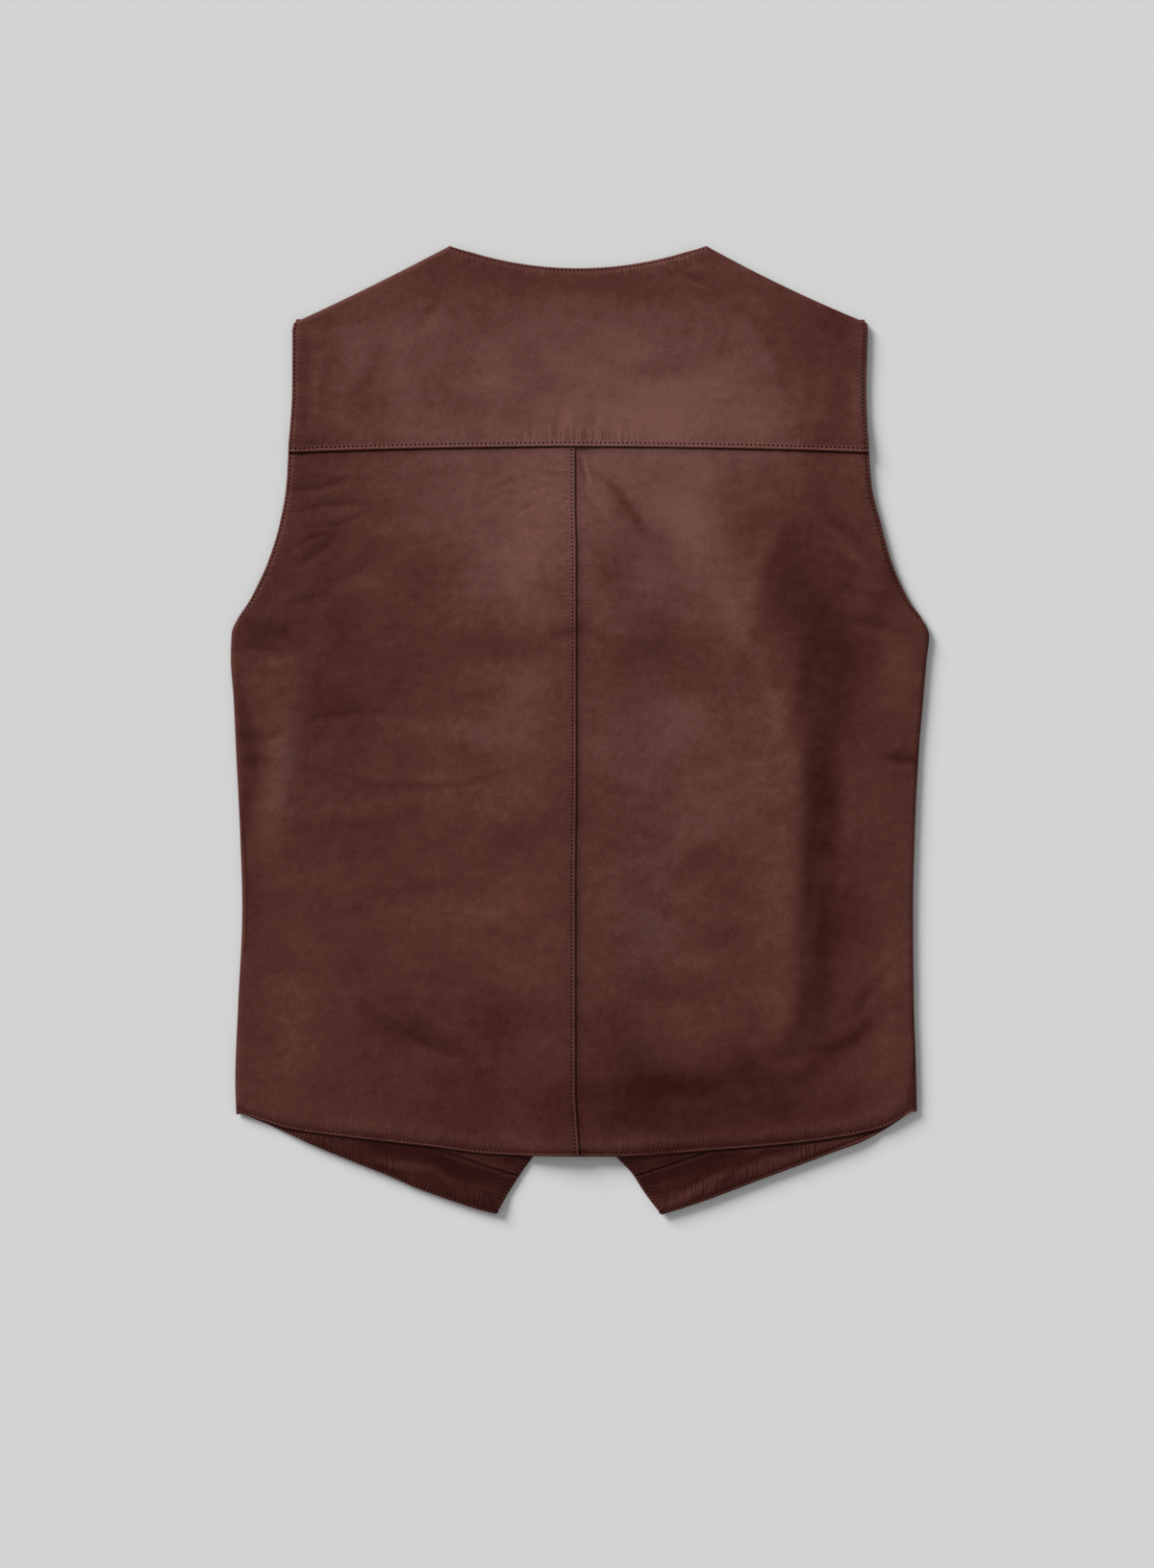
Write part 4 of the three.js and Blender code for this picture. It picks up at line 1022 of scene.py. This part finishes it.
def makeFront(side):
    flat = graded(front["across"], [0, 1.5], fineEdge, front["columns"])
    v = graded(front["length"], fineEdge, [0, 0.3, 0.8, 1.6, 2.8, 4.4, 7, 10], front["rows"])
    x, y = frontPlan(side, flat, v)
    rise, slant = lie["fold"] - cloth["gap"], vest["shoulderSlant"]
    byArmhole = mix(0.5, 1, smooth(np.abs(x - frontArmhole(side, y)) / 12))
    curl = rise * byArmhole * (1 - roundOver((shoulderAt(x, side) - y) * slant, lie["sideRadius"]))
    hem = hemDistance(side, x, y)
    edge = fromFrontEdge(side, x, y)
    armhole = np.abs(x - frontArmhole(side, y)) * steepness(outlineAt[side], y)
    armhole = armhole + 60 * fade(y, vest["underarm"], 100)
    dents = reliefOf(frontFolds, x, y) + 0.12 * (1 + noise2(x, y, 30, 81)) + 0.05 * (1 + noise2(x, y, 9, 82))
    dents = dents * smooth(np.minimum.reduce([hem, edge, armhole, np.abs(x - outlineAt[side](y))]) / 14) * 0.9
    room = lie["rest"] - 2 * cloth["leather"] - 0.5 + reliefOf([f for f in bigFolds if f[5] < 0], x, y)
    dents = np.minimum(dents, np.maximum(0.2 * room, 0)) * fade(60 - np.abs(x), -8, 6)
    dented = [(hem, stitchIn["front"]), (edge, stitchIn["front"]), (armhole, stitchIn["armhole"])]
    groove = 0.22 * sum(bell((inside - line) / 0.9) for inside, line in dented)
    z = frontLift(side, x, y) + curl + dents + groove
    flatPoints = placed(x, y, z)

    # round the fold at the side, up to the side seam
    rowY = y[:, :1]
    hemwards = fade(rowY - rowY[0], 6, 45)  # the hem runs on from the hem of the back
    seamY = rowY
    for _ in range(5):
        shift = np.where(seamY < vest["underarm"], shiftAt[side](seamY), 0)
        seamX = outlineAt[side](seamY) + way[side] * foldReach(shift)[0]
        seamY = rowY + hemwards * (hemAt(seamX) - rowY[0])
    share = np.linspace(0, 1, front["foldColumns"])[None, :-1]
    quarter = foldReach(np.array(0.0))[2]
    s = mix(shift - 0.06, -quarter, share)
    reach, angle, quarter = foldReach(s)
    onTop = smooth(s / np.maximum(shift, 0.01)) * (s > 0) * hemwards
    fy = rowY + onTop * (hemAt(frontArmhole(side, rowY) + way[side] * reach) - rowY[0])
    fx = frontArmhole(side, fy) + way[side] * reach
    opened = fade(rowY, vest["underarm"] - 4, vest["underarm"] + 34)
    upper = mix(lie["fold"], backTop(fx, fy), np.sin(angle)) + np.sin(angle) * hemRelief(fx, fy)
    lower = lie["fold"] * (1 - np.sin(angle)) * opened
    tipCurl = 0.5 * rise * (1 - roundOver((vest["tipHeight"] - rowY) * slant, lie["sideRadius"]))
    fz = np.maximum(np.where(s > 0, upper, lower), tipCurl)
    points = np.concatenate([placed(fx, fy, fz), flatPoints], axis=1)

    x, y = points[..., 0], points[..., 1]
    hem = hemDistance(side, x, y)
    hem[:, : share.shape[1]] = (rowY - rowY[0]) + 0 * fx
    edge = fromFrontEdge(side, x, y)
    seam = np.concatenate([(share * 5 + 0 * fx), np.full(flatPoints.shape[:2], 50.0)], axis=1)
    shoulder = np.maximum(shoulderAt(x, side) - y, 0) * slant
    drop = edgeRoll(hem, edge, seam + 0.9, shoulder + 0.25)
    wearAndHighlight = clamp01(0.5 * bell((np.minimum(hem, edge) - 0.9) / 0.9))
    pastSeam = (seam < 40) * (side == "right")  # the strip beyond the right side seam: painted shade near the hem, painted light higher up
    strip = pastSeam * mix(0.3, -0.6, fade(y, -225, -190)) - 0.3 * bell(seam / 0.7)
    piece = wall("frontLeather" + side.title(), points, np.full(x.shape, cloth["leather"]), drop,
                 -way[side], wearAndHighlight, outerLeather, shade=strip)
    finishPiece(piece, "front_" + side)


facing = {
    "inset": 0.7,  # how far inside the fronts' own edges they end
    "columns": [(999, 1.5)],
    "rows": [(999, 1.3)],
    "rubbedAndLit": {"left": 0.4, "right": 1.1},  # painted light where the hem of the back lies on them, against the shadow under its edge
}


def facingHeight(side, x, y):
    z = frontLift(side, x, y) + cloth["leather"] + cloth["gap"] + cloth["facing"]
    hem = hemDistance(side, x, y)
    edge = fromFrontEdge(side, x, y)
    calm = smooth(np.minimum(hem, edge) / 6)
    covered = smooth((hemAt(x) + 4 - y) / 10)  # under the back the facings lie flat
    z = z + calm * covered * (creaseRelief(facingCreases, x, y) + 0.25 + 0.1 * noise2(x, y, 14, 91))
    return z - 0.2 * bell((hem - stitchIn["front"]) / 0.9) - 0.2 * bell((edge - stitchIn["front"]) / 0.9)


def makeFacings(side):
    wide, height, inset = front["across"], front["length"], facing["inset"]
    top = (lap["hemFacing"] + 1.5) / height * 1.06
    soft = [0, 0.2, 0.5, 0.9, 1.4, 2.2]
    hemColumns = graded(wide, [2.6, 3.4, 4.5], [v + inset for v in fineEdge], facing["columns"])
    hemRowsAt = graded(32, fineEdge, soft, facing["rows"])
    edgeColumns = graded(52, fineEdge, [0, 0.3, 0.8, 1.6], [(999, 1.7)])[::-1]
    edgeRowsAt = graded(600, [*soft, 3.2, 4.6], [0, 0.5, 1.2, 3], [(36, 1.6), (999, 4.0)])
    parts = {
        "hem": (hemColumns, np.interp(hemRowsAt, [0, 1], [inset / height, top])),
        "front": (1 - lap["facingShare"] * edgeColumns - inset / wide,
                  np.interp(edgeRowsAt, [0, 1], [top + 0.3 / height, 0.975])),
    }
    for label, (u, v) in parts.items():
        x, y = frontPlan(side, u, v)
        points = placed(x, y, facingHeight(side, x, y))
        hem = hemDistance(side, x, y) - inset
        edge = fromFrontEdge(side, x, y) - inset
        nearest = np.minimum(hem, edge)
        fromLow = (v[:, None] - v[0]) * height + 0 * x
        seam = (v[-1] - v[:, None]) * height + 0 * x if label == "hem" else fromLow
        drop = edgeRoll(np.maximum(hem if label == "hem" else hem + 50, 0), np.maximum(edge, 0), seam)
        wearAndHighlight = clamp01(0.55 * bell((nearest - 0.8) / 0.8) + 0.12 * bell((seam - 1.2) / 1.0))
        byEdge = np.where(edge < hem, 0.8, 0.7 + 0.5 * noise2(x, 0 * x, 34, 93))
        gathers = 1.6 * (byEdge * smooth((nearest - 2) / 2)) * fade(nearest, 6, 18)
        # painted light just below the back's hem, painted shade in the seam between the facings
        shade = facing["rubbedAndLit"][side] * bell((hemAt(x) - y - 2.0) / 1.1) - 1.2 * bell(seam / 0.6)
        piece = wall(label + "Facing" + side.title(), points, np.full(x.shape, cloth["facing"]), drop,
                     way[side], wearAndHighlight, innerLeather, facingSpots,
                     shade=shade, gathers=gathers, along=np.where(edge < hem, y, x))
        node = ("hem_facing_" if label == "hem" else "front_facing_") + side
        finishPiece(piece, node)


makeYoke()
makePanel("left")
makePanel("right")
makeFront("left")
makeFront("right")
makeFacings("left")
makeFacings("right")
print("leather pieces made")


# Topstitching: short dark stitches, each in the dent that it pulls into the leather, drawn as a flat dark
# bead of painted shade

stitching = {  # what shows of each stitch is a share of its pitch
    "yoke": {"pitch": 3.2, "thread": 1.2, "shows": 0.42},
    "centre": {"pitch": 2.8, "thread": 1.1, "shows": 0.42},
    "edges": {"pitch": 2.9, "thread": 1.1, "shows": 0.42},
}
flatness = 0.45  # of the thread
dentSize = {"long": 1.3, "wide": 1.5, "tall": 0.33}  # of the dark bead of painted shade round each stitch, as shares of the stitch and its thread


def stitchTree():
    tree = bpy.data.node_groups.new("topstitch", "GeometryNodeTree")
    inputs = {"Geometry": "Geometry", "Pitch": "Float", "Length": "Float", "Thread": "Float", "Tilt": "Float",
              "Seed": "Int", "Thread Finish": "Material", "Dent Shade Finish": "Material"}
    for label, kind in inputs.items():
        tree.interface.new_socket(name=label, in_out="INPUT", socket_type="NodeSocket" + kind)
    tree.interface.new_socket(name="Geometry", in_out="OUTPUT", socket_type="NodeSocketGeometry")
    given = tree.nodes.new("NodeGroupInput").outputs
    result = tree.nodes.new("NodeGroupOutput")

    points = addNode(tree, "GeometryNodeCurveToPoints", {
        "Curve": given["Geometry"], "Length": given["Pitch"]}, mode="LENGTH").outputs
    along = addNode(tree, "FunctionNodeAlignRotationToVector", {
        "Vector": points["Tangent"]}, axis="X", pivot_axis="Z")
    lean = addNode(tree, "FunctionNodeRandomValue", {
        2: -0.06, 3: 0.06, "Seed": given["Seed"]}, data_type="FLOAT")
    tilt = addNode(tree, "ShaderNodeCombineXYZ", {"Z": maths(tree, "ADD", lean.outputs[1], given["Tilt"])})
    turned = addNode(tree, "FunctionNodeRotateRotation", {
        "Rotation": along.outputs[0], "Rotate By": tilt.outputs[0]}, rotation_space="LOCAL")

    def bead(long, wide, tall, finish):
        ball = addNode(tree, "GeometryNodeMeshUVSphere", {"Segments": 8, "Rings": 5, "Radius": 0.5})
        size = addNode(tree, "ShaderNodeCombineXYZ", {"X": long, "Y": wide, "Z": tall})
        shaped = addNode(tree, "GeometryNodeTransform", {
            "Geometry": ball.outputs["Mesh"], "Scale": size.outputs[0]})
        rounded = addNode(tree, "GeometryNodeSetShadeSmooth", {"Geometry": shaped.outputs[0]})
        copies = addNode(tree, "GeometryNodeInstanceOnPoints", {
            "Points": points["Points"], "Instance": rounded.outputs[0], "Rotation": turned.outputs[0]})
        made = addNode(tree, "GeometryNodeRealizeInstances", {"Geometry": copies.outputs[0]})
        return addNode(tree, "GeometryNodeSetMaterial", {
            "Geometry": made.outputs[0], "Material": finish}).outputs[0]

    def times(label, factor):
        return maths(tree, "MULTIPLY", given[label], factor)

    thread = bead(given["Length"], given["Thread"], times("Thread", flatness), given["Thread Finish"])
    # the dent: a flat dark bead round each stitch, painted shade
    dent = bead(times("Length", dentSize["long"]), times("Thread", dentSize["wide"]),
                times("Thread", dentSize["tall"]), given["Dent Shade Finish"])
    both = addNode(tree, "GeometryNodeJoinGeometry")
    tree.links.new(thread, both.inputs[0])
    tree.links.new(dent, both.inputs[0])
    tree.links.new(both.outputs[0], result.inputs["Geometry"])
    return tree


stitchGroup = stitchTree()


def stitchRow(name, lines, look, tilt=0.09, seed=3):
    curve = bpy.data.curves.new(name + "Path", "CURVE")
    curve.dimensions = "3D"
    for line in lines:
        path = curve.splines.new("POLY")
        path.points.add(len(line) - 1)
        shifted = (np.asarray(line, float) + [centreShift, 0, 0]) * mm
        path.points.foreach_set("co", np.concatenate([shifted, np.ones((len(line), 1))], axis=1).ravel())
    source = newObject(name + "Path", curve)
    modifier = source.modifiers.new("stitches", "NODES")
    modifier.node_group = stitchGroup
    values = {"Pitch": look["pitch"] * mm, "Length": look["shows"] * look["pitch"] * mm,
              "Thread": look["thread"] * mm, "Tilt": tilt, "Seed": seed,
              "Thread Finish": darkThread, "Dent Shade Finish": dentShadeFinish}
    for socket in stitchGroup.interface.items_tree:
        if socket.in_out == "INPUT" and socket.name in values:
            modifier[socket.identifier] = values[socket.name]
    bpy.context.view_layer.update()
    graph = bpy.context.evaluated_depsgraph_get()
    mesh = bpy.data.meshes.new_from_object(source.evaluated_get(graph))
    mesh.name = name
    source.modifiers.remove(modifier)
    bpy.data.objects.remove(source)
    piece = newObject(name, mesh)
    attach(piece, "root")
    print("stitches", name, len(mesh.polygons), "faces")


def onSurface(heightAt, x, y, lift=-0.04):
    return placed(x, y, heightAt(x, y) + lift)


def onPanel(side):
    return lambda x, y: panelHeight(side, x, y)


def makeStitches():
    ends = float(outlineAt["left"](202.0)) + 2.4, float(outlineAt["right"](202.0)) - 2.4
    x = np.linspace(*ends, 300)
    stitchRow("yokeStitches", [onSurface(yokeHeight, x, yokeSeamAt(x) + stitchIn["yoke"])],
              stitching["yoke"])

    y = np.linspace(float(hemAt(0.0)) + 1.5, 203.5, 400)
    stitchRow("centreStitches", [onSurface(onPanel("left"), centreAt(y) - stitchIn["centre"], y)],
              stitching["centre"], seed=5)

    lines = []
    for side, inset in (("left", 2.1), ("right", 2.8)):
        y = np.linspace(vest["underarm"] + 6, 200.6, 160)
        x = outlineAt[side](y) + way[side] * inset / steepness(outlineAt[side], y)
        lines.append(onSurface(onPanel(side), x, y))
        y = np.linspace(202.2, 294.5, 90)
        x = outlineAt[side](y) + way[side] * inset
        lines.append(onSurface(yokeHeight, x, y))
    x = np.linspace(vest["neck"]["left"] + 2, vest["neck"]["right"] - 2, 160)
    lines.append(onSurface(yokeHeight, x, neckAt(x) - stitchIn["neck"] / steepness(neckAt, x)))
    for side, start, end in (("left", -247.5, -1.2), ("right", 0.2, 235.0)):
        x = np.linspace(start, end, 260)
        lines.append(onSurface(onPanel(side), x, hemAt(x) + hemLineAt(x) / steepness(hemAt, x)))
    stitchRow("edgeStitches", lines, stitching["edges"], seed=7)

    # fronts: along the hems and front edges, on the facings and on the face that lies down
    wide, length = front["across"], front["length"]
    upper, lower = [], []
    for side in ("left", "right"):
        u = np.linspace(0.03, 1 - 2.0 / wide, 160)
        x, y = frontPlan(side, u, np.array([2.0 / length]))
        hemLine = np.stack([x[0], y[0]], axis=-1)
        v = np.linspace(3.0 / length, 0.97, 400)
        x, y = frontPlan(side, np.array([1 - 2.0 / wide]), v)
        edgeLine = np.stack([x[:, 0], y[:, 0]], axis=-1)
        for line in (hemLine, edgeLine):
            x, y = line[:, 0], line[:, 1]
            upper.append(placed(x, y, facingHeight(side, x, y) - 0.05))
            lower.append(placed(x, y, frontLift(side, x, y) + 0.3))
        y = np.linspace(vest["underarm"] + 30, vest["tipHeight"] - 6, 150)
        x = frontArmhole(side, y) + way[side] * stitchIn["armhole"]
        lower.append(placed(x, y, frontLift(side, x, y) + 0.3))
    stitchRow("facingStitches", upper, stitching["edges"], seed=9)
    stitchRow("frontStitches", lower, stitching["edges"], seed=11)


makeStitches()
print("stitches made")


# Snap caps: domed, with a rolled rim
snap = {
    "profile": [  # radius and height, from the middle of the face that lies down to that of the back
        (0, 0), (2.5, 0.01), (4.4, 0.06), (5.6, 0.22), (6.2, 0.42), (6.45, 0.5), (6.7, 0.38),
        (7.05, 0.3), (7.35, 0.45), (7.5, 0.8), (7.5, 1.3), (7.3, 1.7), (6.9, 1.8), (0, 1.8),
    ],
    "around": 48,
    "first": 98.0,
    "pitch": 76.0,
    "count": 5,
}


def capMesh(name, middleX, middleY):
    turns = np.linspace(0, 2 * math.pi, snap["around"], endpoint=False)
    vertices, faces, rings = [], [], []
    for r, z in snap["profile"]:
        first = len(vertices)
        for t in turns if r > 0 else turns[:1]:
            x, y = middleX + r * math.cos(t), middleY + r * math.sin(t)
            vertices.append((x * mm, y * mm, z * mm))
        rings.append(list(range(first, len(vertices))))
    for low, high in zip(rings, rings[1:]):
        for k in range(snap["around"]):
            after = (k + 1) % snap["around"]
            if len(low) == 1:
                faces.append((low[0], high[after], high[k]))
            elif len(high) == 1:
                faces.append((low[k], low[after], high[0]))
            else:
                faces.append((low[k], low[after], high[after], high[k]))
    mesh = bpy.data.meshes.new(name)
    mesh.from_pydata(vertices, [], faces)
    mesh.polygons.foreach_set("use_smooth", np.ones(len(faces), bool))
    mesh.materials.append(agedBrass)
    return mesh


def makeSnaps():
    for i in range(snap["count"]):
        name = "snapCap%d" % (i + 1)
        piece = newObject(name, capMesh(name, centreShift, snap["first"] - i * snap["pitch"]))
        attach(piece, "root")
        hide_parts("snap_cap_%d" % (i + 1))


makeSnaps()
print("snaps made")


# Floor, light and camera
studio = {
    "floor": (0.80, 0.80, 0.80),
    "floorReach": 6.0,  # in metres, each way
    "floorDrop": 0.3,
    "sun": 3.94,
    "sunHeight": 23.0,
    "sunFrom": 135.0,
    "sunSoftness": 26.0,
    "sky": 0.33,
    "sensor": 36,
    "distance": 2500.0,
    "frameHeight": 1141.7,
    "aim": (-1.6, -39.2),
}


def makeStudio():
    reach, low = studio["floorReach"], -studio["floorDrop"] * mm
    corners = [(-reach, -reach, low), (reach, -reach, low), (reach, reach, low), (-reach, reach, low)]
    mesh = bpy.data.meshes.new("floor")
    mesh.from_pydata(corners, [], [(0, 1, 2, 3)])
    floor = newObject("floor", mesh)
    paper, _, shader = newMaterial("pale paper")
    shader.inputs["Base Color"].default_value = (*studio["floor"], 1)
    shader.inputs["Roughness"].default_value = 0.9
    shader.inputs["Specular IOR Level"].default_value = 0.1
    mesh.materials.append(paper)

    lamp = bpy.data.lights.new("window", "SUN")
    lamp.energy = studio["sun"]
    lamp.angle = math.radians(studio["sunSoftness"])
    sun = newObject("window", lamp)
    sun.rotation_euler = (0, math.radians(90 - studio["sunHeight"]), math.radians(studio["sunFrom"]))

    world = bpy.data.worlds.new("room")
    world.use_nodes = True
    sky = world.node_tree.nodes["Background"]
    sky.inputs["Color"].default_value = (1, 1, 1, 1)
    sky.inputs["Strength"].default_value = studio["sky"]
    bpy.context.scene.world = world

    lens = bpy.data.cameras.new("above")
    lens.lens = studio["sensor"] * studio["distance"] / studio["frameHeight"]
    lens.sensor_width = studio["sensor"]
    lens.clip_end = 20
    camera = newObject("above", lens)
    camera.location = (studio["aim"][0] * mm, studio["aim"][1] * mm, studio["distance"] * mm)
    bpy.context.scene.camera = camera
    bpy.context.scene.view_settings.view_transform = "Standard"


makeStudio()
print("studio made")

bpy.context.view_layer.update()
